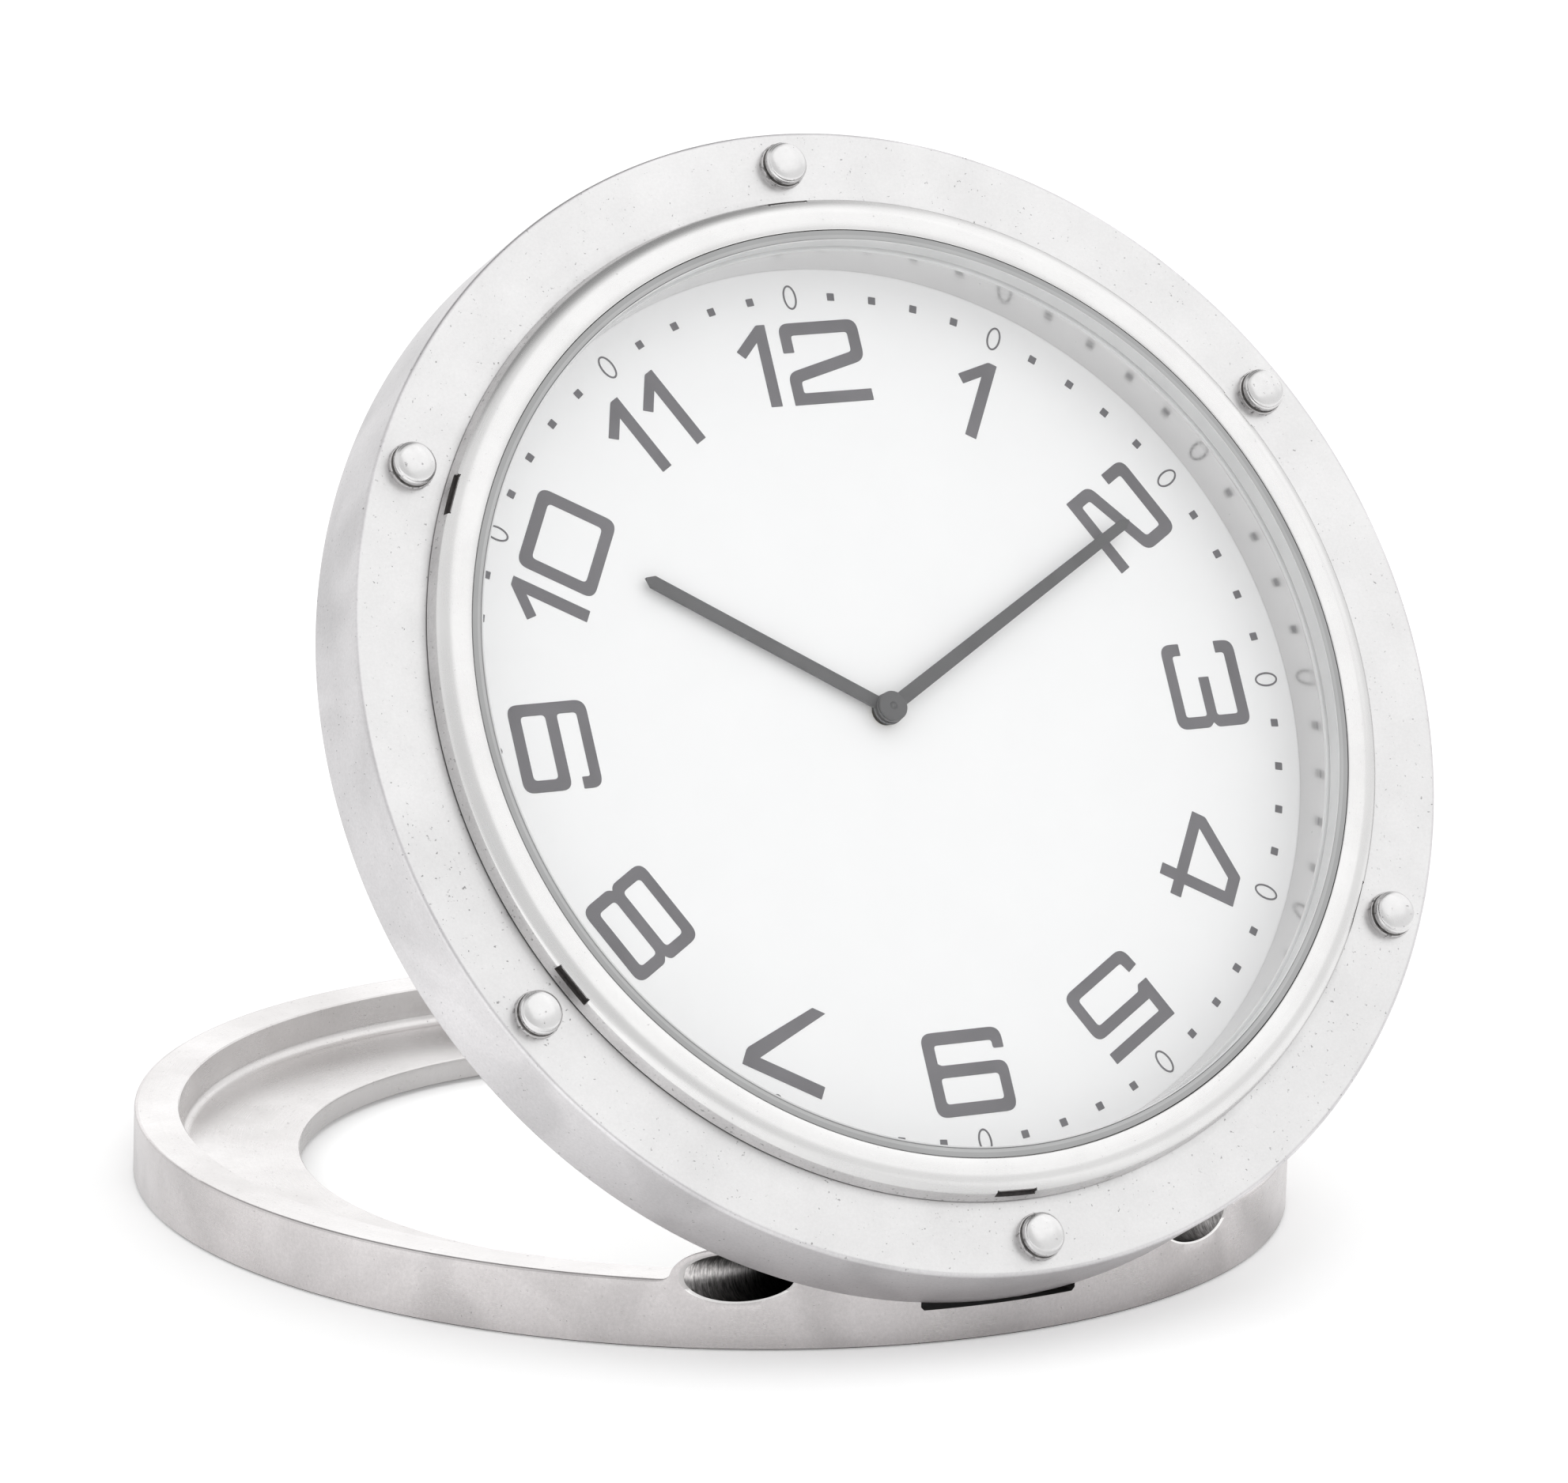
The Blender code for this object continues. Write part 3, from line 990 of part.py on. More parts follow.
clip_outline += arc(BATTERY_PLACE, clip_inner, CLIP_END, CLIP_START, TINY_SIDES)
clip_back = battery_back + FIT_GAP
piece("battery_clip", extruded("battery_clip", clip_outline, clip_back, clip_back + CLIP_HEIGHT),
      BRASS, dial_centre)

# Back cover with its hatch and screw holes
cover_front = COVER_THICKNESS - COVER_DEPTH
arbor_hole = ARBOR_RADIUS + RUNNING_GAP
cover_outline = [
    (arbor_hole, -COVER_DEPTH),
    (COVER_RADIUS, -COVER_DEPTH),
    (COVER_RADIUS, cover_front),
    (arbor_hole, cover_front),
]
back_cover = piece("back_cover", turned("back_cover", cover_outline), SATIN_STEEL, dial_centre)
shape(back_cover, "DIFFERENCE",
      round_bar("hatch_hole", HATCH_RADIUS + HATCH_GAP, -COVER_DEPTH - OVERRUN,
                cover_front + OVERRUN, centre=BATTERY_PLACE))

# Seal between the cover and the case
back_gasket_outline = [
    (BACK_GASKET_INNER_RADIUS, cover_front + FIT_GAP),
    (COVER_RADIUS, cover_front + FIT_GAP),
    (COVER_RADIUS, -COVER_SEAT_DEPTH - FIT_GAP),
    (BACK_GASKET_INNER_RADIUS, -COVER_SEAT_DEPTH - FIT_GAP),
]
piece("back_gasket", turned("back_gasket", back_gasket_outline, MIDDLE_SIDES), BLACK_RUBBER,
      dial_centre)

# Cover screws, their heads sunk flush with the cover
cover_head_seat = COVER_SCREW_HEAD - COVER_DEPTH
cover_screw_end = COVER_SCREW_GRIP - COVER_DEPTH
cover_screw_outline = [
    (0, -COVER_DEPTH),
    (COVER_SCREW_HEAD_RADIUS, -COVER_DEPTH),
    (COVER_SCREW_HEAD_RADIUS, cover_head_seat),
    (COVER_SCREW_RADIUS, cover_head_seat),
    (COVER_SCREW_RADIUS, cover_screw_end),
    (0, cover_screw_end),
]
cover_screw_mesh = turned("back_cover_screw", cover_screw_outline, TINY_SIDES)
for index in range(COVER_SCREW_COUNT):
    screw_place = on_circle(COVER_SCREW_CIRCLE, pi / 4 + 2 * pi * index / COVER_SCREW_COUNT)
    label = str(index + 1)
    piece("back_cover_screw_" + label, cover_screw_mesh, SCREW_STEEL, dial_centre,
          (*screw_place, 0))
    shape(back_cover, "DIFFERENCE",
          round_bar("cover_head_hole_" + label, COVER_SCREW_HEAD_RADIUS + SCREW_GAP,
                    -COVER_DEPTH - OVERRUN, cover_head_seat + FIT_GAP, TINY_SIDES,
                    centre=screw_place))
    shape(back_cover, "DIFFERENCE",
          round_bar("cover_shank_hole_" + label, COVER_SCREW_RADIUS + SCREW_GAP,
                    -COVER_DEPTH, cover_front + OVERRUN, TINY_SIDES, centre=screw_place))
    shape(case_ring, "DIFFERENCE",
          round_bar("flange_hole_" + label, COVER_SCREW_RADIUS + SCREW_GAP,
                    -COVER_SEAT_DEPTH - OVERRUN,
                    REAR_FLANGE_THICKNESS - COVER_SEAT_DEPTH + OVERRUN, TINY_SIDES,
                    centre=screw_place))

# Battery hatch with a coin slot
hatch_outline = [
    (0, -COVER_DEPTH),
    (HATCH_RADIUS, -COVER_DEPTH),
    (HATCH_RADIUS, cover_front),
    (HATCH_PLUG_RADIUS, cover_front),
    (HATCH_PLUG_RADIUS, -HATCH_PLUG_DEPTH),
    (0, -HATCH_PLUG_DEPTH),
]
battery_hatch = piece("battery_hatch", turned("battery_hatch", hatch_outline, SMALL_SIDES),
                      SATIN_STEEL, dial_centre, (*BATTERY_PLACE, 0))
shape(battery_hatch, "DIFFERENCE",
      box("coin_slot",
          (-HATCH_SLOT_HALF_LENGTH, -HATCH_SLOT_HALF_WIDTH, -COVER_DEPTH - OVERRUN),
          (HATCH_SLOT_HALF_LENGTH, HATCH_SLOT_HALF_WIDTH, -COVER_DEPTH + HATCH_SLOT_DEPTH)))

# Setting knob: a lobed disc on the rear end of the minute arbor
knob_outline = []
for index in range(2 * KNOB_LOBES):
    lobe_radius = KNOB_RADIUS - (index % 2) * KNOB_LOBE_DEPTH
    knob_outline.append(on_circle(lobe_radius, pi * index / KNOB_LOBES))
setting_knob = piece("setting_knob",
                     extruded("setting_knob", knob_outline, knob_front - KNOB_THICKNESS,
                              knob_front),
                     BLACK_PLASTIC, dial_centre)
shape(setting_knob, "DIFFERENCE",
      round_bar("knob_socket", ARBOR_RADIUS + FIT_GAP, arbor_end - SEAT_GAP,
                knob_front + OVERRUN, STUD_SIDES))
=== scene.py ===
import math

import bmesh
import bpy
import numpy as np
from mathutils import Matrix, Vector
from mathutils.geometry import tessellate_polygon


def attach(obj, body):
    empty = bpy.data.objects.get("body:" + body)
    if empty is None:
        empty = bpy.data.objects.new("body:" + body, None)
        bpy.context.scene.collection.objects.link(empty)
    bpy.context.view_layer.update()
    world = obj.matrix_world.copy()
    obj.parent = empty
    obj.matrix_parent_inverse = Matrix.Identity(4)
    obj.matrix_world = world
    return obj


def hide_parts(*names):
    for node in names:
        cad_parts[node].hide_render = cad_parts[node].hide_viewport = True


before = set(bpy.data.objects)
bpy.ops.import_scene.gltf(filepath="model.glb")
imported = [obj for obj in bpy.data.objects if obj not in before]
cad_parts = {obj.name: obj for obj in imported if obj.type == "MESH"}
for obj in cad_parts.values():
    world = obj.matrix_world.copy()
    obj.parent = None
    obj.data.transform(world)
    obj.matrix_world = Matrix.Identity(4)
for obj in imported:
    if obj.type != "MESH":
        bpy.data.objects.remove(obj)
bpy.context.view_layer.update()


# Table and studio: a wide pale table, soft daylight from all round, and two soft lamps, the larger
# of which is mirrored in the clock's flange. The camera stands at the photograph's place.
TABLE_HALF = 4.0
TABLE_DROP = 0.00006
RING_MIDDLE = (0, 0.038, 0)
DAYLIGHT = 1.01


class Nodes:
    """Short ways to add nodes to a tree. An input is joined to a socket or set to a value. Those
    that work something out give back the socket with the result."""

    def __init__(self, tree):
        self.tree = tree

    def join(self, socket, target):
        self.tree.links.new(socket, target)

    def give(self, target, value):
        if isinstance(value, bpy.types.NodeSocket):
            self.join(value, target)
        else:
            target.default_value = value

    def add(self, kind, inputs=None, **settings):
        made = self.tree.nodes.new("ShaderNode" + kind)
        for key, value in settings.items():
            setattr(made, key, value)
        for socket, value in (inputs or {}).items():
            self.give(made.inputs[socket], value)
        return made

    def math(self, operation, *values):
        return self.add("Math", dict(enumerate(values)), operation=operation).outputs[0]

    def vector(self, operation, *values):
        places = (0, 3) if operation == "SCALE" else (0, 1)
        made = self.add("VectorMath", dict(zip(places, values)), operation=operation)
        one_number = operation in ("LENGTH", "DISTANCE", "DOT_PRODUCT")
        return made.outputs["Value" if one_number else "Vector"]

    def axes(self, place):
        return tuple(self.add("SeparateXYZ", {"Vector": place}).outputs)

    def ramp(self, value, low, high, first=0.0, last=1.0, smooth=False):
        """What runs from low to high comes to run from first to last, and is held beyond."""
        inputs = {"Value": value, "From Min": low, "From Max": high, "To Min": first,
                  "To Max": last}
        kind = "SMOOTHSTEP" if smooth else "LINEAR"
        return self.add("MapRange", inputs, interpolation_type=kind).outputs["Result"]

    def noise(self, place, scale, detail, roughness=0.5, distortion=0.0):
        inputs = {"Vector": place, "Scale": scale, "Detail": detail, "Roughness": roughness,
                  "Distortion": distortion}
        return self.add("TexNoise", inputs).outputs["Fac"]

    def blend(self, kind, share, first, second):
        """From the first colour or vector to the second."""
        made = self.add("Mix", {"Factor": share}, data_type=kind)
        ends = {socket.name: socket for socket in made.inputs if socket.type == kind}
        self.give(ends["A"], first)
        self.give(ends["B"], second)
        return next(socket for socket in made.outputs if socket.type == kind)

    def bump(self, height, depth, before=None):
        inputs = {"Strength": 1.0, "Distance": depth, "Height": height}
        if before:
            inputs["Normal"] = before
        return self.add("Bump", inputs).outputs["Normal"]

    def here(self):
        return self.add("TexCoord").outputs["Object"]

    def on_seat(self, seat):
        """The place on a piece, counted from a seat: a middle, and a lean about the x axis."""
        inputs = {"Vector": self.here(), "Location": seat[0], "Rotation": (seat[1], 0, 0)}
        return self.add("Mapping", inputs, vector_type="TEXTURE").outputs["Vector"]

    def times(self, first, second):
        return self.math("MULTIPLY", first, second)

    def seen_rays(self):
        """One for rays that see a thing straight, mirrored or through glass; the mirrored ones."""
        rays = self.add("LightPath").outputs
        seen = self.math("MAXIMUM", rays["Is Camera Ray"], rays["Is Glossy Ray"])
        return self.math("MAXIMUM", seen, rays["Is Transmission Ray"]), rays["Is Glossy Ray"]

    def coat(self, colour, roughness, normal, metallic=0.0):
        shader = self.tree.nodes["Principled BSDF"]
        shader.inputs["Metallic"].default_value = metallic
        self.join(colour, shader.inputs["Base Color"])
        self.join(roughness, shader.inputs["Roughness"])
        self.join(normal, shader.inputs["Normal"])

    def own_surface(self, shader):
        self.tree.nodes.remove(self.tree.nodes["Principled BSDF"])
        self.join(shader.outputs[0], self.tree.nodes["Material Output"].inputs["Surface"])


def recipe(name):
    """A new material and its nodes."""
    material = bpy.data.materials.new(name)
    material.use_nodes = True
    return material, Nodes(material.node_tree)


def placed(name, data):
    """A new object that holds the data, in the scene."""
    made = bpy.data.objects.new(name, data)
    bpy.context.scene.collection.objects.link(made)
    return made


corners = TABLE_HALF * np.array([[-1, -1, 0], [1, -1, 0], [1, 1, 0], [-1, 1, 0]])
table_mesh = bpy.data.meshes.new("table")
table_mesh.from_pydata((corners - [0, 0, TABLE_DROP]).tolist(), [], [(0, 1, 2, 3)])
table = placed("table", table_mesh)

# Paper that is seen looks white, with a stronger glow inside the ring: painted light over the
# ring's shadow. Mirrored, it is darker but for a painted glow left of the clock, which is weaker
# behind, and a striped one on the right
material, make = recipe("table_paper")
place = make.here()
tone = make.ramp(make.noise(place, 40.0, 3.0), 0.0, 1.0, 0.86, 0.9)
paper = make.add("CombineColor", {"Red": tone, "Green": tone, "Blue": tone}).outputs["Color"]
seen, glossy = make.seen_rays()
across, deep = make.axes(place)[:2]
left = make.ramp(across, -0.07, 0.03, 0.42, 0.0, smooth=True)
left = make.times(left, make.ramp(deep, 0.038, 0.06, 1.0, 0.45))
right = make.ramp(across, 0.005, 0.042, 0.0, 0.27, smooth=True)
stripe = make.math("ABSOLUTE", make.math("SUBTRACT", deep, 0.0089))
stripe = make.ramp(stripe, 0.001, 0.0058, 0.3, 1.0)
mirrored = make.math("MULTIPLY_ADD", right, stripe, left)
mirrored = make.times(mirrored, make.ramp(deep, 0.2, 0.5, 1.0, 0.0))
mirrored = make.times(glossy, mirrored)
seen_glow = make.ramp(make.vector("DISTANCE", place, RING_MIDDLE), 0.0275, 0.0305, 0.38, 0.245)
glow = make.math("MULTIPLY_ADD", make.math("SUBTRACT", seen, glossy), seen_glow, mirrored)
lit = make.add("BsdfDiffuse", {"Color": paper})
own = make.add("Emission", {"Color": (1, 1, 1, 1), "Strength": glow})
make.own_surface(make.add("AddShader", {0: lit.outputs[0], 1: own.outputs[0]}))
table_mesh.materials.append(material)

# The air is white where it is seen. Mirrored, it is darker behind the camera and overhead at the
# back, and brighter at a window on the right: a direction, where each begins and is full, its level
world = bpy.data.worlds.new("studio")
bpy.context.scene.world = world
world.use_nodes = True
air = Nodes(world.node_tree)
seen, glossy = air.seen_rays()
direction = air.add("TexCoord").outputs["Generated"]
behind_camera, window, ceiling = [
    air.ramp(air.vector("DOT_PRODUCT", direction, way), begins, full, 1.0, level, smooth=True)
    for way, begins, full, level in (
        ((-0.49, -0.84, 0.24), 0.6, 0.97, 0.84), ((0.77, -0.02, 0.638), 0.87, 0.98, 1.32),
        ((0.05, 0.5, 0.865), 0.8, 0.95, 0.35))]
shade = air.times(air.times(behind_camera, window), ceiling)
mirrored = air.times(glossy, shade)
plain = air.times(seen, air.math("SUBTRACT", 1.0, glossy))
soft = air.times(air.math("SUBTRACT", 1.0, seen), DAYLIGHT)
level = air.math("ADD", air.math("ADD", mirrored, plain), soft)
sky = world.node_tree.nodes["Background"]
sky.inputs["Color"].default_value = (1, 1, 1, 1)
air.join(level, sky.inputs["Strength"])


def soft_lamp(name, place, aim, size, watts):
    """A flat lamp, across by upright, that faces a point."""
    data = bpy.data.lights.new(name, "AREA")
    data.shape = "RECTANGLE"
    data.size, data.size_y = size
    data.energy = watts
    lamp = placed(name, data)
    lamp.location = place
    lamp.rotation_euler = (lamp.location - Vector(aim)).to_track_quat("Z", "Y").to_euler()


soft_lamp("large_soft_lamp", (0.355, -0.61, 0.98), (0, 0.014, 0.04), (1.0, 1.0), 1.0)
rear_place = Vector((0.5, 0.83, 0.26)).normalized() * 1.3
soft_lamp("rear_soft_lamp", rear_place, (0, 0, 0), (1.2, 0.5), 0.85)

camera_data = bpy.data.cameras.new("camera")
camera_data.lens = 228.646
camera_data.sensor_width = 36
camera = placed("camera", camera_data)
camera.location = (-0.34428, -0.57849, 0.20832)
camera.rotation_euler = [math.radians(turn) for turn in (76.0723, -1.7824, -29.1021)]
bpy.context.scene.camera = camera
bpy.context.scene.view_settings.view_transform = "Standard"


# Base ring: one stainless turning with a raised rim, a ledge and an open middle. Two rounded lugs
# stand on the rim, milled with a slot for the knuckle, a flat scoop as the stop, and two bores.
TAU = 2 * math.pi
HAIR = 0.00001
CASE_RADIUS = 0.0425
HINGE_DROP = 0.03795
HINGE_BEHIND = 0.00581
HINGE_HEIGHT = 0.00525
OPEN_ANGLE = math.radians(58.92)
RIM_TOP = 0.00497
RIM_INNER = 0.0392
RIM_BREAK = 0.0001
LEDGE_TOP = 0.00207
LEDGE_DROP = 0.00015
LEDGE_FILLET = 0.0008
HOLE_RADIUS = 0.0303
FOOT_RELIEF = 0.0002
FOOT_INNER = 0.0345
EDGE = 0.0002
LUG_RADIUS = 0.0022
LUG_FILLET = 0.0006
BORE_RADIUS = 0.00172
BORE_LIP_RADIUS = 0.0021
BORE_STOP = 0.0109
PIN_HOLE_RADIUS = 0.00113
SLOT_HALF = 0.00625
SLOT_FLOOR = 0.00245
SLOT_CHAMFER = 0.00025
SCOOP_HALF = 0.016
SCOOP_FOOT = 0.01022
STOP_PLANE = 0.0025


def solid(points, faces, merge=0.0):
    """The closed mesh of points and faces, which are turned to look outwards. Doubled points are
    merged where a distance is given."""
    mesh = bpy.data.meshes.new("piece")
    mesh.from_pydata(points.tolist(), [], faces)
    shell = bmesh.new()
    shell.from_mesh(mesh)
    if merge:
        bmesh.ops.remove_doubles(shell, verts=shell.verts, dist=merge)
    bmesh.ops.recalc_face_normals(shell, faces=shell.faces)
    shell.to_mesh(mesh)
    shell.free()
    return mesh


def skin(grid):
    """The closed mesh of a grid of points: each point is joined to the next in its row and in its
    column, and both run round. Doubled points, such as a pole's, are merged."""
    index = np.arange(grid.shape[0] * grid.shape[1]).reshape(grid.shape[:2])
    index = np.vstack([index, index[:1]])
    index = np.hstack([index, index[:, :1]])
    faces = np.stack([index[:-1, :-1], index[1:, :-1], index[1:, 1:], index[:-1, 1:]], -1)
    return solid(grid.reshape(-1, 3), faces.reshape(-1, 4).tolist(), merge=3e-7)


def slab(loops, low, high):
    """A flat solid between two heights: loops of points in the plane are filled, the first as the
    outline and the others as holes, and each edge of a loop carries an upright wall."""
    flat = np.vstack(loops)
    count = len(flat)
    lids = np.array(tessellate_polygon([[Vector((*p, 0)) for p in loop] for loop in loops]))
    faces = []
    start = 0
    for loop in loops:
        ring = start + np.arange(len(loop))
        after = np.roll(ring, -1)
        faces += np.stack([ring, after, after + count, ring + count], -1).tolist()
        start += len(loop)
    points = np.vstack([np.c_[flat, np.full(count, low)], np.c_[flat, np.full(count, high)]])
    return solid(points, faces + lids.tolist() + (lids[:, ::-1] + count).tolist())


def round_turn(sides):
    """The angles of a whole turn, as a column."""
    return (np.arange(sides) * TAU / sides)[:, None]


def turned(profile, sides=360):
    """A surface of revolution: each point of the closed profile (radius, height) goes round the
    upright axis, x = radius * cos(angle) and y = radius * sin(angle)."""
    radius, height = np.asarray(profile, float).T
    angle = round_turn(sides)
    across, deep = radius * np.cos(angle), radius * np.sin(angle)
    return skin(np.stack([across, deep, height + 0 * angle], -1))


def turned_along_x(profile, sides, height, depth=0.0):
    """A surface of revolution round an axis along x: the profile holds (radius, x)."""
    radius, x = np.asarray(profile, float).T
    angle = round_turn(sides)
    return skin(np.stack([x + 0 * angle, depth + radius * np.cos(angle),
                          height + radius * np.sin(angle)], -1))


def rod(radius, half, sides, height, depth=0.0):
    """A plain round rod along x."""
    return turned_along_x([[0, -half], [radius, -half], [radius, half], [0, half]], sides, height,
                          depth)


def circle(radius, sides, centre=(0.0, 0.0)):
    """Points round a circle, counted by their angle."""
    angle = round_turn(sides)[:, 0]
    return np.c_[centre[0] + radius * np.cos(angle), centre[1] + radius * np.sin(angle)]


def box(half, foot, top):
    """The corners of a box that is even about the middle line."""
    return np.array([[-half, foot], [half, foot], [half, top], [-half, top]])


def eased(points, steps=5):
    """Corners of a closed outline (across, up, setback) are eased: a corner becomes a short
    parabola that starts and ends its setback away from the corner, along the two edges."""
    points = np.asarray(points, float)
    corner, setback = points[:, :2], points[:, 2:3]
    before = np.roll(corner, 1, 0) - corner
    after = np.roll(corner, -1, 0) - corner
    start = corner + setback * before / np.linalg.norm(before, axis=1, keepdims=True)
    end = corner + setback * after / np.linalg.norm(after, axis=1, keepdims=True)
    share = np.linspace(0, 1, steps + 1)[None, :, None]
    curve = ((1 - share) ** 2 * start[:, None] + 2 * share * (1 - share) * corner[:, None]
             + share ** 2 * end[:, None]).reshape(-1, 2)
    return curve[np.linalg.norm(curve - np.roll(curve, 1, 0), axis=1) > 1e-9]


def side_by_side(*parts):
    """Columns joined into one table: a part with a single row is repeated down all rows."""
    rows = max(len(part) for part in parts)
    return np.hstack([np.broadcast_to(part, (rows, np.shape(part)[1])) for part in parts])


def moved(mesh, matrix):
    """The mesh itself is put in place, so its object stays at the origin."""
    mesh.transform(matrix)
    return mesh


def cut(mesh, cutter):
    """The mesh with the cutter's solid taken out of it."""
    block = placed("block", mesh)
    tool = placed("tool", cutter)
    modifier = block.modifiers.new("cut", "BOOLEAN")
    modifier.operation = "DIFFERENCE"
    modifier.solver = "EXACT"
    modifier.object = tool
    bpy.context.view_layer.update()
    graph = bpy.context.evaluated_depsgraph_get()
    result = bpy.data.meshes.new_from_object(block.evaluated_get(graph))
    bpy.data.objects.remove(block)
    bpy.data.objects.remove(tool)
    return result


def show(name, mesh, material, body, node=None, sharp=32.0, even=True):
    """A finished piece: smooth shading with sharp edges kept, its body and material slot. Its node
    is its name without the last word, unless another node or none is given."""
    mesh.name = name
    mesh.materials.clear()
    mesh.materials.append(material)
    mesh.shade_smooth()
    mesh.set_sharp_from_angle(angle=math.radians(sharp))
    piece = placed(name, mesh)
    if even:
        modifier = piece.modifiers.new("even_shading", "WEIGHTED_NORMAL")
        modifier.keep_sharp = True
        modifier.weight = 100
    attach(piece, body)
    node = name.rpartition("_")[0] if node is None else node
    if node:
        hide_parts(node)
    return piece


# The section round the ring is a function of the angle from the front. Its height over the rim
# follows the lugs' rounded bar: a circle of the lug radius that meets the rim in a fillet.
bearing = np.concatenate([np.arange(36.0, 324.0), np.arange(324.0, 396.0, 0.25)])
bearing = np.radians(bearing)[:, None]
share = np.cos(bearing)
near_front = share > 0.7
fillet_reach = LUG_RADIUS + LUG_FILLET
fillet_height = RIM_TOP + LUG_FILLET
fillet_place = math.sqrt(fillet_reach ** 2 - (fillet_height - HINGE_HEIGHT) ** 2)
touch_angle = math.asin((fillet_height - HINGE_HEIGHT) / fillet_reach)
touch_place = LUG_RADIUS * math.cos(touch_angle)


def top_at(step):
    """Height over the table at a distance before the hinge axis: near the front the bar's circle,
    then the hollow fillet, then the flat rim, and elsewhere the rim alone."""
    away = np.abs(step)
    bar = HINGE_HEIGHT + np.sqrt(np.clip(LUG_RADIUS ** 2 - away ** 2, 0, None))
    hollow = np.sqrt(np.clip(LUG_FILLET ** 2 - (away - fillet_place) ** 2, 0, None))
    lug = np.where(away < touch_place, bar,
                   np.where(away < fillet_place, fillet_height - hollow, RIM_TOP))
    return np.where(near_front, lug, RIM_TOP)


wall_inner = CASE_RADIUS - EDGE
lug_back = np.where(near_front, (HINGE_DROP - LUG_RADIUS) / np.maximum(share, 0.1), 9.0)
inner_wall = np.minimum(RIM_INNER, lug_back)
inner_limit = inner_wall * share - HINGE_DROP
outer_limit = wall_inner * share - HINGE_DROP
# Points over the rim, from inner to outer wall, by their distance before the hinge axis
bar_steps = LUG_RADIUS * np.cos(np.linspace(math.pi - touch_angle, touch_angle, 41))
hollow_angles = np.linspace(math.pi + touch_angle, 1.5 * math.pi, 7)[1:]
front_steps = fillet_place + LUG_FILLET * np.cos(hollow_angles)
steps = np.concatenate([-front_steps[::-1], bar_steps, front_steps])[None, :]
even_steps = np.linspace(0, 1, steps.shape[1])[None, :]
over_steps = np.where(near_front, np.clip(steps + 0 * bearing, inner_limit, outer_limit),
                      inner_limit + (outer_limit - inner_limit) * even_steps)
over_radius = (over_steps + HINGE_DROP) / share
over_height = top_at(over_steps)
edge_turn = np.linspace(0, math.pi / 2, 5)[None, 1:]
edge_radius = wall_inner + EDGE * np.sin(edge_turn)
outer_height = top_at(CASE_RADIUS * share - HINGE_DROP)
edge_height = (np.minimum(outer_height, top_at(edge_radius * share - HINGE_DROP)) - EDGE
               + EDGE * np.cos(edge_turn))
wall_share = np.linspace(1, 0, 9)[None, 1:]
foot_turn = np.linspace(0, math.pi / 2, 4)[None, 1:]
hole_top = LEDGE_TOP - LEDGE_DROP
under = np.array([
    [0.0385, 0.0], [FOOT_INNER + 0.0001, 0.0], [FOOT_INNER, 0.0001], [FOOT_INNER, FOOT_RELIEF],
    [0.032, FOOT_RELIEF], [HOLE_RADIUS + 0.0001, FOOT_RELIEF], [HOLE_RADIUS, FOOT_RELIEF + 0.0001],
    [HOLE_RADIUS, 0.0012], [HOLE_RADIUS, hole_top - 0.00016],
    [HOLE_RADIUS + 0.00003, hole_top - 0.00006], [HOLE_RADIUS + 0.0001, hole_top],
    [0.0325, hole_top + 0.00004], [0.0348, LEDGE_TOP - 0.00006]])
hollow_turn = np.linspace(0, math.pi / 2, 7)[None, :]
hollow_top = LEDGE_TOP + LEDGE_FILLET
rise = np.linspace(0, 1, 7)[None, 1:]
radius = side_by_side(
    np.maximum(over_radius, inner_wall + RIM_BREAK), edge_radius, CASE_RADIUS + 0 * wall_share,
    wall_inner + EDGE * np.cos(foot_turn), under[None, :, 0],
    inner_wall - LEDGE_FILLET + LEDGE_FILLET * np.sin(hollow_turn), inner_wall + 0 * rise)
height = side_by_side(
    over_height, edge_height, EDGE + (outer_height - 2 * EDGE) * wall_share,
    EDGE - EDGE * np.sin(foot_turn), under[None, :, 1],
    hollow_top - LEDGE_FILLET * np.cos(hollow_turn),
    hollow_top + (over_height[:, :1] - RIM_BREAK - LEDGE_TOP - LEDGE_FILLET) * rise)
ring = skin(np.stack([radius * np.sin(bearing), HINGE_DROP - radius * np.cos(bearing), height], -1))

# Slot for the knuckle: straight walls, a flat floor with small chamfers
slot_loop = np.array([
    [-SLOT_HALF, 0.012], [-SLOT_HALF, SLOT_FLOOR + SLOT_CHAMFER],
    [-SLOT_HALF + SLOT_CHAMFER, SLOT_FLOOR], [SLOT_HALF - SLOT_CHAMFER, SLOT_FLOOR],
    [SLOT_HALF, SLOT_FLOOR + SLOT_CHAMFER], [SLOT_HALF, 0.012]])
ring = cut(ring, moved(slab([slot_loop], -0.0032, 0.006), Matrix.Rotation(math.pi / 2, 4, "X")))

# Scoop: the stop plane, leaning as the case does when the clock is open
lean = Matrix.Translation((0, 0, HINGE_HEIGHT)) @ Matrix.Rotation(OPEN_ANGLE, 4, "X")
scoop = slab([box(SCOOP_HALF, -SCOOP_FOOT, LUG_RADIUS)], STOP_PLANE, 0.00775)
ring = cut(ring, moved(scoop, lean))

# Bores: a straight wide bore from each side. Its broken lip follows the ring's round wall: the
# points lie at the wall of their own place, or a little before or beyond it
SIDES = ((-1, "left"), (1, "right"))
turn = round_turn(96)
away = np.array([0.0, BORE_RADIUS, BORE_RADIUS, BORE_RADIUS, BORE_LIP_RADIUS, 0.0]) + 0 * turn
wall = np.sqrt(CASE_RADIUS ** 2 - (HINGE_DROP - away * np.cos(turn)) ** 2)
reach = side_by_side(np.full((1, 2), BORE_STOP), wall[:, 2:] + [-0.0007, -0.00013, 0.00026, 0.004])
for side, name in SIDES:
    bore = np.stack([side * reach, away * np.cos(turn), HINGE_HEIGHT + away * np.sin(turn)], -1)
    ring = cut(ring, skin(bore))
ring = cut(ring, rod(PIN_HOLE_RADIUS, 0.0115, 48, HINGE_HEIGHT))

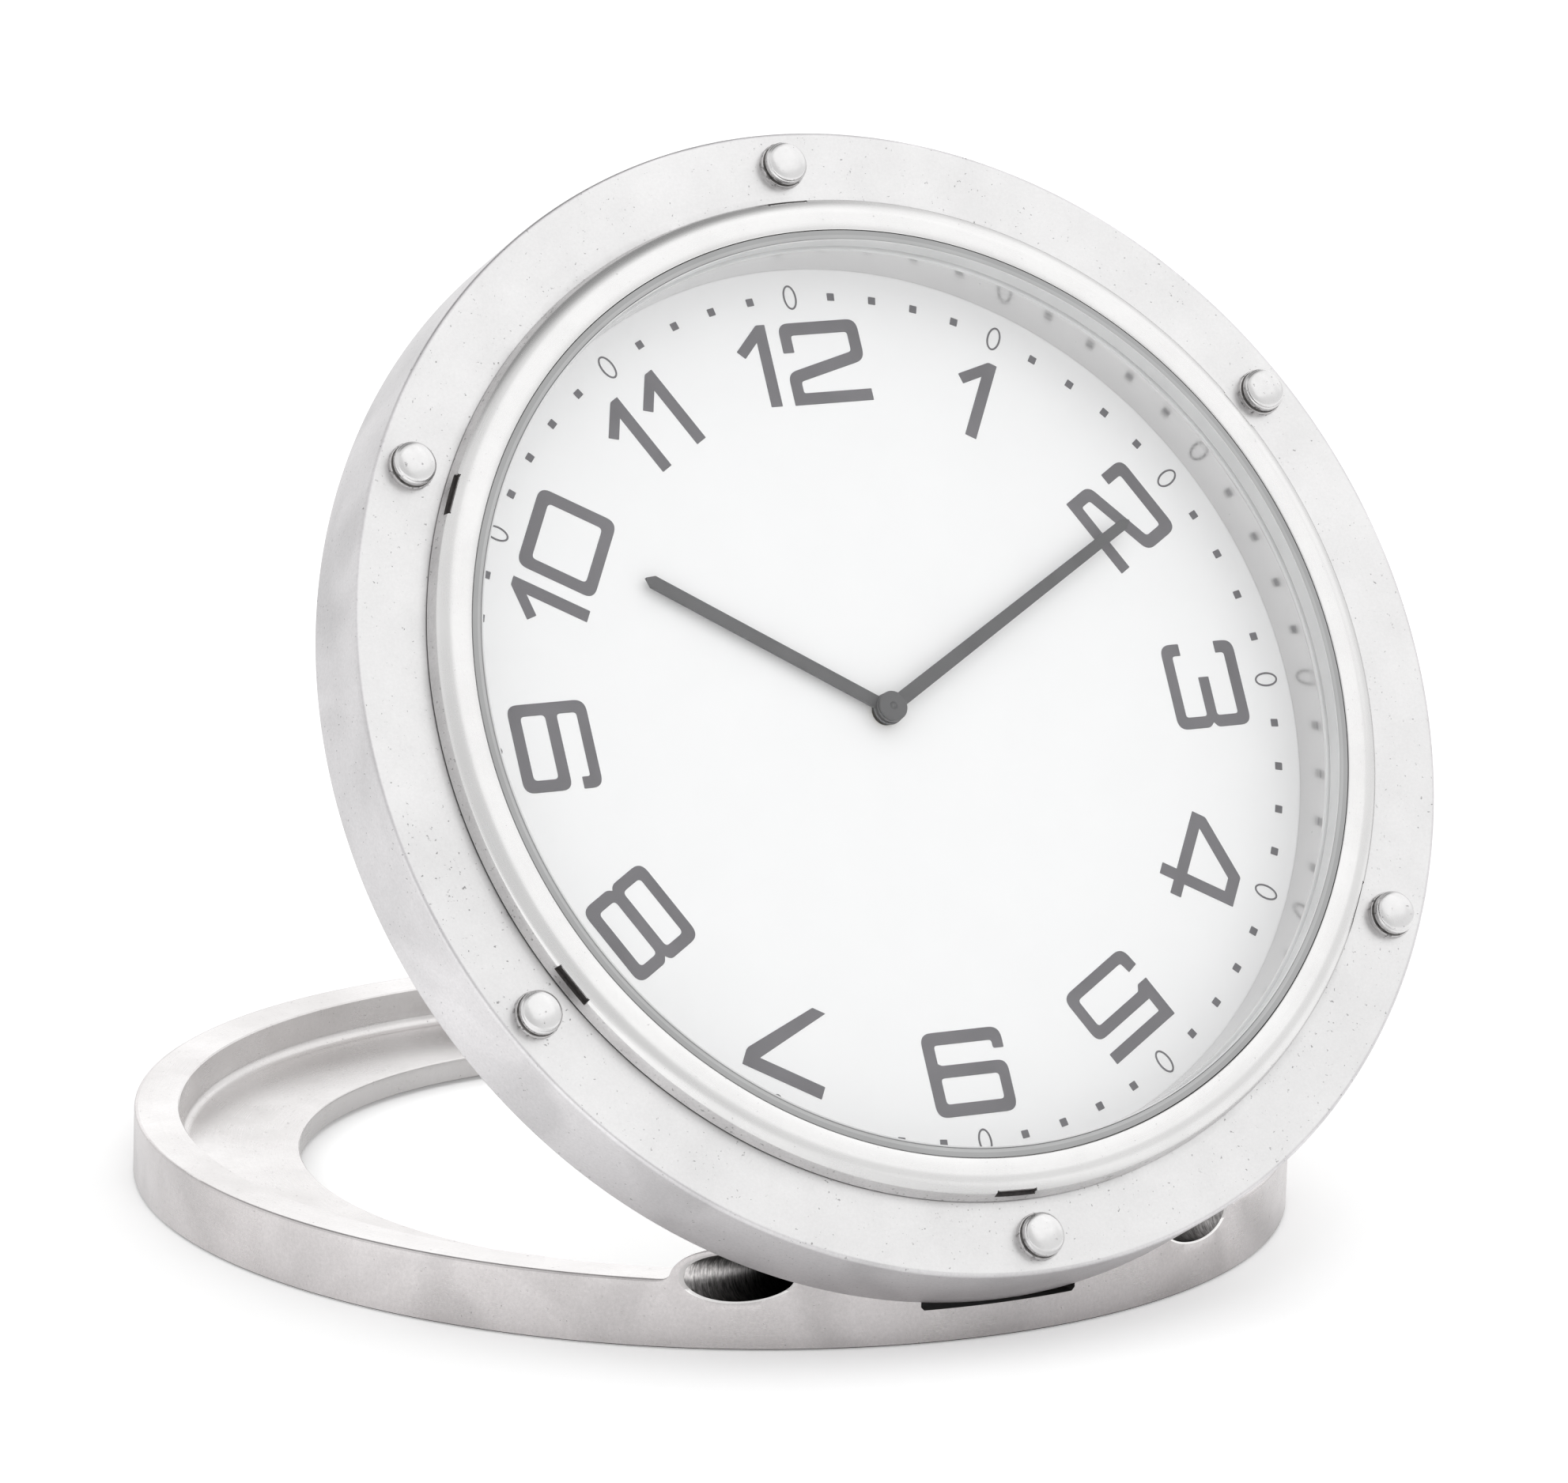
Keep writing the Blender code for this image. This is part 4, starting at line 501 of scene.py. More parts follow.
UPRIGHT = ((0, 0, 0), 0.0)


def steel(name, light, dark, rough, seat=UPRIGHT, lines=9000.0, line_bump=1.2e-6, pit_size=2600.0,
          pit_share=0.66, pit_dark=0.25, cloud=90.0, grime_and_shade=None, side=None, uneven=0.012,
          line_sheen=0.045):
    """Steel as it is turned, blasted and handled: tool lines by the distance from the seat's axis,
    cloudy stains from light to dark, a fine unevenness, small pits, and their roughness and
    relief. Grime and painted shade lie between two distances, and beyond one the side's colour
    is toned darker and wavy: painted shade and painted reflections."""
    material, make = recipe(name)
    spot = make.on_seat(seat)
    x, y, z = make.axes(spot)
    away = make.vector("LENGTH", make.add("CombineXYZ", {"X": x, "Y": y}).outputs["Vector"])
    tiny = make.times(make.math("ARCTAN2", y, x), 0.0004)
    line_place = make.add("CombineXYZ", {"X": away, "Y": z, "Z": tiny}).outputs["Vector"]
    line = make.noise(line_place, lines, 2.0)
    stain = make.ramp(make.noise(spot, cloud, 5.0, 0.62), 0.35, 0.7)
    grain = make.math("MULTIPLY_ADD", stain, 0.04, make.noise(spot, pit_size, 3.0, 0.6))
    pit = make.ramp(grain, pit_share - 0.02, pit_share + 0.03)
    colour = make.blend("RGBA", stain, (*light, 1), (*dark, 1))
    mottle = make.noise(spot, 4200.0, 3.0, 0.75)
    mottle = make.ramp(mottle, 0.3, 0.7, 1 - uneven, 1 + uneven)
    # Beyond the edge radius the side's colour is toned darker and wavy: painted shade with wavy
    # painted reflections
    if side:
        edge_radius, factor = side
        beyond = make.ramp(away, edge_radius - 0.0001, edge_radius)
        wavy_reflection = make.ramp(make.noise(spot, 75.0, 1.5, distortion=1.5), 0.4, 0.62, 0.9, 1.04)
        wall = make.vector("SCALE", factor, make.times(wavy_reflection, mottle))
        colour = make.vector("MULTIPLY", colour,
                             make.blend("VECTOR", beyond, (1.0, 1.0, 1.0), wall))
    left = make.math("SUBTRACT", mottle, make.times(pit, pit_dark))
    # Near the bezel the flange darkens: grime, and painted shade in the joint
    if grime_and_shade:
        inner, outer, strength = grime_and_shade
        near = make.times(make.ramp(away, inner, outer, 1.0, 0.0), stain)
        left = make.math("SUBTRACT", left, make.times(near, strength))
    sheen = make.ramp(line, 0.3, 0.7, rough - line_sheen, rough + line_sheen)
    sheen = make.math("MULTIPLY_ADD", stain, 0.06, sheen)
    sheen = make.math("MULTIPLY_ADD", pit, 0.15, sheen)
    relief = make.bump(make.math("SUBTRACT", 1.0, pit), 6e-6, make.bump(line, line_bump))
    make.coat(make.vector("SCALE", colour, left), sheen, relief, metallic=1.0)
    return material


def dirt_and_shade(name, colour, rough, size):
    """Old grease and dust, and painted shade, that fill a groove or a hole: dull, dark and uneven.
    """
    material, make = recipe(name)
    lump = make.noise(make.here(), size, 4.0)
    shade = make.vector("SCALE", colour, make.ramp(lump, 0.35, 0.7, 0.6, 1.6))
    make.coat(shade, make.ramp(lump, 0.0, 1.0, rough - 0.1, rough + 0.15), make.bump(lump, 8e-6))
    return material


def face_places(mesh):
    """The middle of every face: x, y, z, and the distance from the upright axis."""
    middles = np.zeros(len(mesh.polygons) * 3)
    mesh.polygons.foreach_get("center", middles)
    x, y, z = middles.reshape(-1, 3).T
    return x, y, z, np.hypot(x, y)


def other_finish(piece, material, chosen):
    """The chosen faces of a piece take another material."""
    index = np.zeros(len(piece.data.polygons), dtype=np.int32)
    piece.data.polygons.foreach_get("material_index", index)
    piece.data.materials.append(material)
    index[chosen] = len(piece.data.materials) - 1
    piece.data.polygons.foreach_set("material_index", index)


# Its outer wall is toned darker and wavy: painted shade and painted reflections
base_steel = steel(
    "base_steel_turned", (0.69, 0.674, 0.671), (0.61, 0.592, 0.586), 0.24,
    ((0, HINGE_DROP, 0), 0.0), lines=11000.0, line_bump=0.1e-6, pit_size=3800.0, pit_share=0.72,
    pit_dark=0.3, cloud=70.0, side=(0.04228, (0.87, 0.855, 0.86)), uneven=0.035, line_sheen=0.01)
piece = show("base_ring_turned", ring, base_steel, "base", sharp=28)

# The bores are rough inside: rings of the drill, with painted shade from light near the mouth to
# black at the bottom, and a painted highlight band along their sides
bore_steel, make = recipe("bore_steel_drilled_shaded")
x, y, z = make.axes(make.here())
shade_by_depth = make.ramp(make.math("ABSOLUTE", x), 0.0135, 0.0212, 0.08, 0.9, smooth=True)
drill_ring = make.noise(make.vector("MULTIPLY", make.here(), (1.0, 0.16, 0.16)), 7000.0, 4.0, 0.7)
streak = make.ramp(drill_ring, 0.38, 0.68, 0.45, 1.35)
off_band = make.math("ABSOLUTE", make.math("SUBTRACT", z, HINGE_HEIGHT + 0.00035))
highlight_band = make.ramp(off_band, 0.00025, 0.00085, 1.0, 0.32, smooth=True)
tone = make.times(make.times(shade_by_depth, streak), highlight_band)
make.coat(make.vector("SCALE", (1.0, 0.97, 0.96), tone), make.ramp(drill_ring, 0.0, 1.0, 0.2, 0.5),
          make.bump(drill_ring, 12e-6), metallic=1.0)

x, y, z, away = face_places(piece.data)
from_axis = np.hypot(y, z - HINGE_HEIGHT)
from_middle = np.hypot(x, y - HINGE_DROP)
along = np.abs(x)
inside_wall = from_middle < CASE_RADIUS - HAIR
in_bore = (from_axis < BORE_RADIUS + HAIR) & (along > BORE_STOP - 2 * HAIR)
on_lip = inside_wall & ~in_bore & (from_axis < 0.00205) & (along > 0.0135)
low_lip = on_lip & (z < HINGE_HEIGHT - 0.0009)
in_slot = (along < SLOT_HALF + 2 * HAIR) & inside_wall & (z < 0.0049) & (y < 0.0045)
in_slot &= z > SLOT_FLOOR - 2 * HAIR
foot_shadow_line = (z < 0.00008) & (from_middle > CASE_RADIUS - EDGE)
other_finish(piece, bore_steel, in_bore)
# Each bore's lip takes two tones of the same steel: painted shade on most of it and a painted
# highlight along its low edge
for name, light, dark, rough, pit_share, chosen in (
        ("lip_steel_worn", (0.58, 0.565, 0.56), (0.5, 0.485, 0.48), 0.32, 0.74, on_lip & ~low_lip),
        ("lip_steel_bright", (0.86, 0.85, 0.84), (0.78, 0.77, 0.76), 0.2, 0.76, low_lip)):
    lip_steel = steel(
        name, light, dark, rough, lines=8000.0, line_bump=0.3e-6, pit_share=pit_share, cloud=300.0)
    other_finish(piece, lip_steel, chosen)
# The slot and the foot's bottom edge are filled near-black: painted shade in the slot and a painted
# contact shadow under the foot
other_finish(piece, dirt_and_shade("slot_and_foot_shade", (0.03, 0.027, 0.026), 0.6, 1800.0), in_slot | foot_shadow_line)


# Hinge: two slotted pivot screws sunk in the bores carry a barrel knuckle with brass bushes,
# and a thin steel washer on each side gives the friction that holds the clock open.
screw_steel = steel(
    "screw_steel_turned", (0.34, 0.335, 0.33), (0.24, 0.235, 0.23), 0.28, lines=14000.0,
    pit_share=0.7, cloud=900.0)
washer_steel = steel(
    "washer_steel_polished", (0.62, 0.61, 0.6), (0.5, 0.49, 0.48), 0.2, lines=14000.0,
    pit_share=0.72, cloud=700.0)
pin = np.array([
    [0, 0.0032], [0.00095, 0.0032], [0.00105, 0.0033], [0.00105, 0.011], [0.0015, 0.011],
    [0.00155, 0.01105], [0.00155, 0.0125], [0.00147, 0.0126], [0, 0.0126]])
washer = np.array([[0.00113, 0.00585], [0.002, 0.00585], [0.002, 0.0061], [0.00113, 0.0061]])
for side, name in SIDES:
    mesh = turned_along_x(pin * [1, side], 48, HINGE_HEIGHT)
    blade = slab([box(0.0022, -0.00018, 0.00018)], 0.01235, 0.0135)
    way = Matrix.Translation((0, 0, HINGE_HEIGHT)) @ Matrix.Rotation(side * math.pi / 2, 4, "Y")
    mesh = cut(mesh, moved(blade, way @ Matrix.Rotation(0.5, 4, "Z")))
    show(f"hinge_pin_{name}_turned", mesh, screw_steel, "base")
    mesh = turned_along_x(washer * [1, side], 64, HINGE_HEIGHT)
    show(f"hinge_washer_{name}_turned", mesh, washer_steel, "base")

# Knuckle: a milled barrel with a flat back, screwed to the case through two sunk heads.
KNUCKLE_RADIUS = 0.00215
KNUCKLE_HALF = 0.0057
KNUCKLE_BACK = 0.0032
clock_place = (Matrix.Translation((0, 0, HINGE_HEIGHT)) @ Matrix.Rotation(OPEN_ANGLE, 4, "X")
               @ Matrix.Translation((0, HINGE_DROP, HINGE_BEHIND)))
ON_CLOCK = (tuple(clock_place.translation), OPEN_ANGLE)


def hang(name, mesh, material, body="clock", node=None, even=True):
    """A piece made in the clock's own frame is put in the clock and shown."""
    return show(name, moved(mesh, clock_place), material, body, node, even=even)


turn = np.linspace(-math.pi, 0, 33)
barrel = np.vstack([
    np.c_[np.cos(turn), np.sin(turn)] * KNUCKLE_RADIUS - [HINGE_DROP, HINGE_BEHIND],
    [[-HINGE_DROP + KNUCKLE_RADIUS, -KNUCKLE_BACK], [-HINGE_DROP - KNUCKLE_RADIUS, -KNUCKLE_BACK]]])
lay = Matrix(((0, 0, 1, 0), (1, 0, 0, 0), (0, 1, 0, 0), (0, 0, 0, 1)))
knuckle = moved(slab([barrel], -KNUCKLE_HALF, KNUCKLE_HALF), lay)
knuckle = cut(knuckle, rod(0.00154, 0.0075, 64, -HINGE_BEHIND, -HINGE_DROP))
for x in (-0.0015, 0.0015):
    knuckle = cut(knuckle, slab([circle(0.00098, 40, (x, -HINGE_DROP))], -0.0105, -0.00646))
# Its steel is darker than the case's: painted shade, for the slot it turns in
knuckle_steel = steel(
    "knuckle_steel_milled", (0.5, 0.49, 0.475), (0.4, 0.39, 0.38), 0.34, ON_CLOCK, pit_share=0.7)
hang("hinge_knuckle_milled", knuckle, knuckle_steel)
brass = steel(
    "brass_turned", (0.62, 0.45, 0.2), (0.45, 0.31, 0.13), 0.3, ON_CLOCK, lines=12000.0,
    cloud=700.0, pit_share=0.7)
bush = np.array([
    [0.00114, 0.0028], [0.00149, 0.0028], [0.00149, 0.00565], [0.00144, 0.0057], [0.00119, 0.0057],
    [0.00114, 0.00565]])
for side, name in SIDES:
    mesh = turned_along_x(bush * [1, side], 64, -HINGE_BEHIND, -HINGE_DROP)
    hang(f"hinge_bush_{name}_turned", mesh, brass)


def screw_mesh(place, face, head_radius, head, shank_radius, end, angle):
    """A turned screw with a slotted head: the head's face is at one height and the shank ends at
    another, in the clock's frame. The head looks backwards."""
    profile = [[0, face], [head_radius - 6e-5, face], [head_radius, face + 6e-5],
               [head_radius, face + head], [shank_radius, face + head], [shank_radius, end],
               [0, end]]
    blade = slab([box(2 * head_radius, -0.00014, 0.00014)], face - 0.001, face + 0.0002)
    mesh = cut(turned(profile, 48), moved(blade, Matrix.Rotation(angle, 4, "Z")))
    return moved(mesh, Matrix.Translation((*place, 0)))


clock_screw_steel = steel(
    "clock_screw_steel", (0.5, 0.495, 0.49), (0.38, 0.375, 0.37), 0.26, ON_CLOCK, lines=14000.0,
    cloud=800.0, pit_share=0.7)
for (side, name), angle in zip(SIDES, (0.5, 1.3)):
    place = (side * 0.0015, -HINGE_DROP)
    mesh = screw_mesh(place, -0.00726, 0.0009, 0.0007, 0.0005, -0.00119, angle)
    hang(f"knuckle_screw_{name}_turned", mesh, clock_screw_steel)


# Case ring: flange, side wall, web and the smaller boss behind, turned from one bar and blasted.
# The flange is finely pitted, and darker near the bezel: grime and painted shade in the joint.
# Its side wall is toned darker and wavy: painted shade and painted reflections.
CASE_FRONT = 0.00378
CASE_BACK = 0.00319
BEZEL_SEAT = 0.03575
BOSS_RADIUS = 0.035
BOSS_BACK = 0.0084
COVER_SEAT = 0.0342
case_profile = eased([
    (BEZEL_SEAT, CASE_FRONT, 0.0), (CASE_RADIUS, CASE_FRONT, 0.00032),
    (CASE_RADIUS, -CASE_BACK, 0.00016), (BOSS_RADIUS, -CASE_BACK, 0.0002),
    (BOSS_RADIUS, -BOSS_BACK, 0.00025), (COVER_SEAT, -BOSS_BACK, 0.00008),
    (COVER_SEAT, -0.0072, 0.0), (0.0303, -0.0072, 0.0), (0.0303, -0.006, 0.0),
    (0.033, -0.006, 0.0), (0.033, -0.0005, 0.0), (BEZEL_SEAT, -0.0005, 0.0)], 7)
case_steel = steel(
    "case_steel_blasted", (0.715, 0.71, 0.71), (0.665, 0.66, 0.66), 0.33, ON_CLOCK,
    line_bump=0.4e-6, pit_size=3600.0, pit_share=0.712, pit_dark=0.5, cloud=110.0,
    grime_and_shade=(0.0371, 0.0377, 0.2), side=(0.0423, (0.95, 0.94, 0.952)), uneven=0.03, line_sheen=0.02)
hang("case_ring_turned", turned(case_profile), case_steel)


# Back cover: a thin brushed disc in the boss with four sunk screws, a seal under it, a hatch with
# a coin slot over the cell, and the setting knob on the arbor's end.
COVER_BACK = -0.00835
COVER_FRONT = -0.00755
HATCH_PLACE = (-0.013, 0.001)
HATCH_RADIUS = 0.0071
screw_places = circle(0.032, 8)[1::2]
loops = [circle(0.034, 240), circle(0.0074, 96, HATCH_PLACE)[::-1], circle(0.00044, 24)[::-1]]
loops += [circle(0.00118, 40, p)[::-1] for p in screw_places]
cover_steel = steel(
    "cover_steel_brushed", (0.56, 0.555, 0.545), (0.48, 0.475, 0.465), 0.32, ON_CLOCK, lines=7000.0,
    line_bump=1.5e-6, pit_share=0.72, cloud=80.0)
hang("back_cover_brushed", slab(loops, COVER_BACK, COVER_FRONT), cover_steel,
     even=False)
for index, place in enumerate(screw_places):
    mesh = screw_mesh(place, COVER_BACK, 0.0011, 0.0004, 0.0006, -0.00645, 0.4 + 1.1 * index)
    hang(f"back_cover_screw_{index + 1}_turned", mesh, clock_screw_steel)
hatch_profile = eased([
    (0, COVER_BACK, 0), (HATCH_RADIUS, COVER_BACK, 0.0001), (HATCH_RADIUS, COVER_FRONT, 0),
    (0.0056, COVER_FRONT, 0), (0.0056, -0.007, 0), (0, -0.007, 0)], 4)
coin = eased(np.c_[box(0.0045, -0.0006, 0.0006), np.full(4, 0.0004)], 6)
hatch = cut(turned(hatch_profile, 144), slab([coin], -0.0095, -0.00795))
hatch = moved(hatch, Matrix.Translation((*HATCH_PLACE, 0)))
hang("battery_hatch_turned", hatch, cover_steel)


def plastic(name, colour, rough, size=1500.0, seat=UPRIGHT, shift=0.06):
    """Moulded plastic, rubber or lacquer: a fine grain in its relief and roughness, and a slight
    cloudiness in its colour."""
    material, make = recipe(name)
    spot = make.on_seat(seat)
    grain = make.noise(spot, size, 4.0)
    tone = make.ramp(make.noise(spot, size / 14, 3.0), 0.3, 0.7, 1 - shift, 1 + shift)
    make.coat(make.vector("SCALE", colour, tone),
              make.ramp(grain, 0.3, 0.7, rough - 0.05, rough + 0.07), make.bump(grain, 2e-6))
    return material


def soft_edge(piece, name, width):
    """A small live bevel along the sharp edges."""
    bevel = piece.modifiers.new(name, "BEVEL")
    bevel.width = width
    bevel.segments = 2
    bevel.limit_method = "ANGLE"


lobed = 0.0036 - 0.000125 * (1 - np.cos(24 * round_turn(288)[:, 0]))
knob = slab([circle(lobed, 288), circle(0.0004, 24)[::-1]], -0.00965, -0.00855)
knob_plastic = plastic("knob_plastic", (0.022, 0.022, 0.023), 0.42, 2200.0, ON_CLOCK)
piece = hang("setting_knob_moulded", knob, knob_plastic, "minute_group",
             even=False)
soft_edge(piece, "moulded_edge", 0.0001)
gasket = [(0.0333, -0.0075, 0), (0.034, -0.0075, 0), (0.034, -0.00725, 0), (0.0333, -0.00725, 0)]
rubber = plastic("seal_rubber", (0.02, 0.02, 0.021), 0.6, 1800.0, ON_CLOCK)
hang("back_gasket_moulded", turned(eased(gasket, 2), 240), rubber)


# Movement: the quartz works behind the dial keep their CAD shapes. They are plastic plates, brass
# wheels, a copper coil, a green board and a steel cell, and get their own finishes.
works = {
    "movement_holder": plastic("holder_plastic", (0.55, 0.55, 0.53), 0.45, 1200.0),
    "main_plate": plastic("plate_plastic", (0.03, 0.03, 0.032), 0.4),
    "train_bridge": plastic("bridge_plastic", (0.04, 0.04, 0.042), 0.38),
    "coil": plastic("coil_lacquer", (0.42, 0.15, 0.05), 0.3, 5200.0, shift=0.2),
    "coil_core": steel("core_iron", (0.45, 0.44, 0.43), (0.36, 0.35, 0.34), 0.35, cloud=600.0),
    "stator": steel("stator_iron", (0.5, 0.49, 0.48), (0.4, 0.39, 0.38), 0.3, cloud=600.0),
    "circuit_board": plastic("board_resist", (0.02, 0.16, 0.07), 0.35, 2600.0, shift=0.15),
    "quartz_crystal": steel("can_steel", (0.6, 0.6, 0.6), (0.5, 0.5, 0.5), 0.2, cloud=900.0),
    "clock_chip": plastic("chip_resin", (0.012, 0.012, 0.013), 0.5, 2600.0),
    "battery": steel("cell_steel", (0.62, 0.62, 0.61), (0.52, 0.52, 0.51), 0.2, cloud=500.0),
    "intermediate_wheel": plastic("wheel_plastic", (0.5, 0.48, 0.42), 0.4, 2200.0),
    "rotor": plastic("rotor_magnet", (0.05, 0.045, 0.04), 0.3, 3000.0),
}
works |= dict.fromkeys(("battery_contact", "battery_clip", "minute_arbor", "hour_wheel",
                        "minute_wheel", "centre_wheel"), brass)
works |= {f"bridge_screw_{index}": clock_screw_steel for index in (1, 2, 3)}
for name, finish in works.items():
    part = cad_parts[name]
    part.data.materials.clear()
    part.data.materials.append(finish)


# Dial: a thin brass disc, lacquered white and printed in dark grey with plain figures, a square
# for each minute and an open oval for each hour. The print sits slightly turned and low.
PRINT_TURN = math.radians(-0.461)
PRINT_SHIFT = np.array([0.000084, -0.000248])
FIGURE_CIRCLE = 0.0264
TRACK = 0.03157
INK = 0.00002
INK_FOOT = -5e-6
dial_profile = eased([
    (0.001, 0, 0.00003), (0.001, -0.0004, 0), (0.0355, -0.0004, 0), (0.0355, 0, 0.00005)], 3)
dial_lacquer = plastic("dial_lacquer", (0.945, 0.945, 0.947), 0.5, 2600.0, ON_CLOCK, shift=0.008)
hang("dial_lacquered", turned(dial_profile, 240), dial_lacquer)


# The figures' outlines are in millimetres about their middles: across, up, and the corner's setback
def one(left, top, foot):
    """The figure one: a stem, and a flag that leaves its top at half a right angle."""
    return [[(left + 0.91, top, 0.05), (left + 0.91, foot, 0.05), (left, foot, 0.05),
             (left, top - 1.3, 0.02), (left - 1.2, top - 2.46, 0.06),
             (left - 1.79, top - 1.9, 0.06), (left + 0.2, top, 0.12)]]


def two(across, up):
    """The figure two, in one stroke: hook, top, right side, slope, foot."""
    points = np.array([
        (-3.24, 0.85, 0.08), (-3.24, 3.09, 0.85), (3.18, 3.09, 0.85), (3.18, -0.04, 0.75),
        (-2.32, -1.36, 0.22), (-2.32, -2.24, 0.18), (3.18, -2.24, 0.05), (3.18, -3.12, 0.05),
        (-3.24, -3.12, 0.05), (-3.24, -0.66, 0.7), (2.24, 0.66, 0.25), (2.24, 2.15, 0.25),
        (-2.35, 2.15, 0.25), (-2.35, 0.85, 0.08)])
    return [points + [across, up, 0]]


def eased_box(left, right, top, foot, ease):
    """A box with equal eased corners."""
    return [(left, top, ease), (right, top, ease), (right, foot, ease), (left, foot, ease)]


figures = {
    1: one(-0.09, 3.2, -2.97),
    2: two(0, 0),
    3: [[(-3.24, 1.5, 0.06), (-3.24, 3.09, 0.85), (3.2, 3.09, 0.85), (3.2, 0.33, 0.25),
         (2.82, 0.02, 0.05), (3.2, -0.33, 0.25), (3.2, -3.0, 0.85), (-3.24, -3.0, 0.85),
         (-3.24, -1.44, 0.06), (-2.35, -1.44, 0.06), (-2.35, -2.15, 0.25), (2.32, -2.15, 0.25),
         (2.32, -0.41, 0.25), (-0.62, -0.41, 0.05), (-0.62, 0.44, 0.05), (2.32, 0.44, 0.25),
         (2.32, 2.18, 0.25), (-2.35, 2.18, 0.25), (-2.35, 1.5, 0.06)]],
    4: [[(-0.18, 2.97, 0.15), (2.24, 2.97, 0.04), (2.24, -1.09, 0.02), (3.32, -1.09, 0.05),
         (3.32, -1.97, 0.05), (2.24, -1.97, 0.02), (2.24, -3.15, 0.05), (1.35, -3.15, 0.05),
         (1.35, -1.97, 0.02), (-3.41, -1.97, 0.05), (-3.41, -0.88, 0.12)],
        [(0.28, 2.06, 0.05), (1.35, 2.06, 0.03), (1.35, -1.09, 0.03), (-2.41, -1.09, 0.05)]],
    5: [[(-3.21, 3.09, 0.04), (3.24, 3.09, 0.04), (3.24, 2.2, 0.04), (-2.32, 2.2, 0.12),
         (-2.32, 1.09, 0.02), (3.35, 1.09, 0.85), (3.35, -3.0, 0.85), (-3.15, -3.0, 0.85),
         (-3.26, -1.38, 0.05), (-2.38, -1.26, 0.05), (-2.25, -2.15, 0.2), (2.47, -2.15, 0.3),
         (2.47, 0.2, 0.3), (-1.95, 0.2, 0.1), (-2.3, -0.2, 0.05), (-3.21, -0.2, 0.05)]],
    6: [[(-3.29, 3.0, 0.9), (3.18, 3.0, 0.9), (3.18, 1.44, 0.08), (2.32, 1.44, 0.2),
         (2.32, 2.06, 0.25), (-2.35, 2.06, 0.25), (-2.35, 0.72, 0.05), (-2.05, 0.56, 0.1),
         (3.18, 0.56, 0.8), (3.18, -3.2, 0.9), (-3.29, -3.2, 0.9)],
        eased_box(-2.35, 2.32, -0.35, -2.26, 0.3)],
    7: [[(-3.18, 3.24, 0.05), (3.2, 3.24, 0.05), (3.2, 1.97, 0.25), (-0.65, -2.94, 0.05),
         (-1.7, -2.94, 0.05), (2.06, 2.26, 0.05), (-3.18, 2.26, 0.05)]],
    8: [[(-3.24, 3.26, 0.85), (3.24, 3.26, 0.85), (3.24, 0.6, 0.3), (2.95, 0.29, 0.05),
         (3.29, 0.0, 0.3), (3.29, -2.94, 0.9), (-3.32, -2.94, 0.9), (-3.32, 0.0, 0.3),
         (-2.85, 0.29, 0.05), (-3.24, 0.6, 0.3)],
        eased_box(-2.35, 2.32, 2.32, 0.65, 0.35), eased_box(-2.41, 2.41, -0.29, -2.06, 0.35)],
    9: [[(-3.26, 3.24, 0.85), (3.2, 3.24, 0.85), (3.2, -2.94, 0.9), (-3.26, -2.94, 0.85),
         (-3.26, -1.44, 0.06), (-2.38, -1.44, 0.06), (-2.38, -2.09, 0.2), (2.32, -2.09, 0.3),
         (2.32, -0.53, 0.3), (-3.26, -0.53, 0.8)],
        eased_box(-2.38, 2.32, 2.32, 0.38, 0.35)],
    10: one(-3.38, 3.09, -3.06),
    11: one(-1.85, 3.12, -3.06),
    12: one(-3.47, 3.26, -2.94),
}
second_figures = {
    10: [eased_box(-1.5, 4.8, 3.15, -3.06, 0.85), eased_box(-0.59, 3.88, 2.2, -2.15, 0.35)],
    11: one(1.85, 3.12, -3.06),
    12: two(1.71, 0.15),
}


def print_on(ink, loops, angle, reach, tilt):
    """Adds to the ink a thin slab of loops in millimetres about their own middle, turned by a tilt
    and set at a reach from the dial's centre in the direction of an angle, both clockwise."""
    angle, tilt = angle - PRINT_TURN, tilt - PRINT_TURN
    middle = reach * np.array([math.sin(angle), math.cos(angle)]) + PRINT_SHIFT
    spin = np.array([[math.cos(tilt), -math.sin(tilt)], [math.sin(tilt), math.cos(tilt)]])
    loops = [0.001 * np.asarray(loop) @ spin + middle for loop in loops]
    ink.from_mesh(slab(loops, INK_FOOT, INK))


ink = bmesh.new()
for source in (figures, second_figures):
    for hour, outlines in source.items():
        angle = math.radians(30 * hour)
        loops = [eased(outline, 6) for outline in outlines]
        print_on(ink, loops, angle, FIGURE_CIRCLE, 0.0 if hour == 6 else angle)
for minute in range(60):
    angle = math.radians(6 * minute)
    if minute % 5:
        loops = [eased(eased_box(-0.285, 0.285, 0.285, -0.285, 0.05), 2)]
    else:
        loops = [circle(1.0, 48) * [0.535, 0.93], circle(1.0, 48)[::-1] * [0.395, 0.79]]
    print_on(ink, loops, angle, TRACK, angle)
ink_mesh = bpy.data.meshes.new("dial_print")
ink.to_mesh(ink_mesh)
ink.free()
ink_grey = plastic("print_ink", (0.15, 0.145, 0.156), 0.6, 3200.0, ON_CLOCK, shift=0.1)
hang("dial_print", ink_mesh, ink_grey, node="", even=False)


# Hands: two flat lacquered blades with pointed ends, pressed on the arbor and its pipe, and a
# round cap with a small centre pip over them.
HAND_THICK = 0.00025
HAND_POINT = 0.0006


def blade_loop(length, root, tip, hub):
    """The outline of a hand that points up: straight tapering sides, a point and a round hub."""
    opening = math.asin(root / hub)
    turn = np.linspace(math.pi / 2 + opening, 5 * math.pi / 2 - opening, 60)
    return np.vstack([[[0, length], [-tip, length - HAND_POINT]],
                      np.c_[hub * np.cos(turn), hub * np.sin(turn)],
                      [[tip, length - HAND_POINT]]])


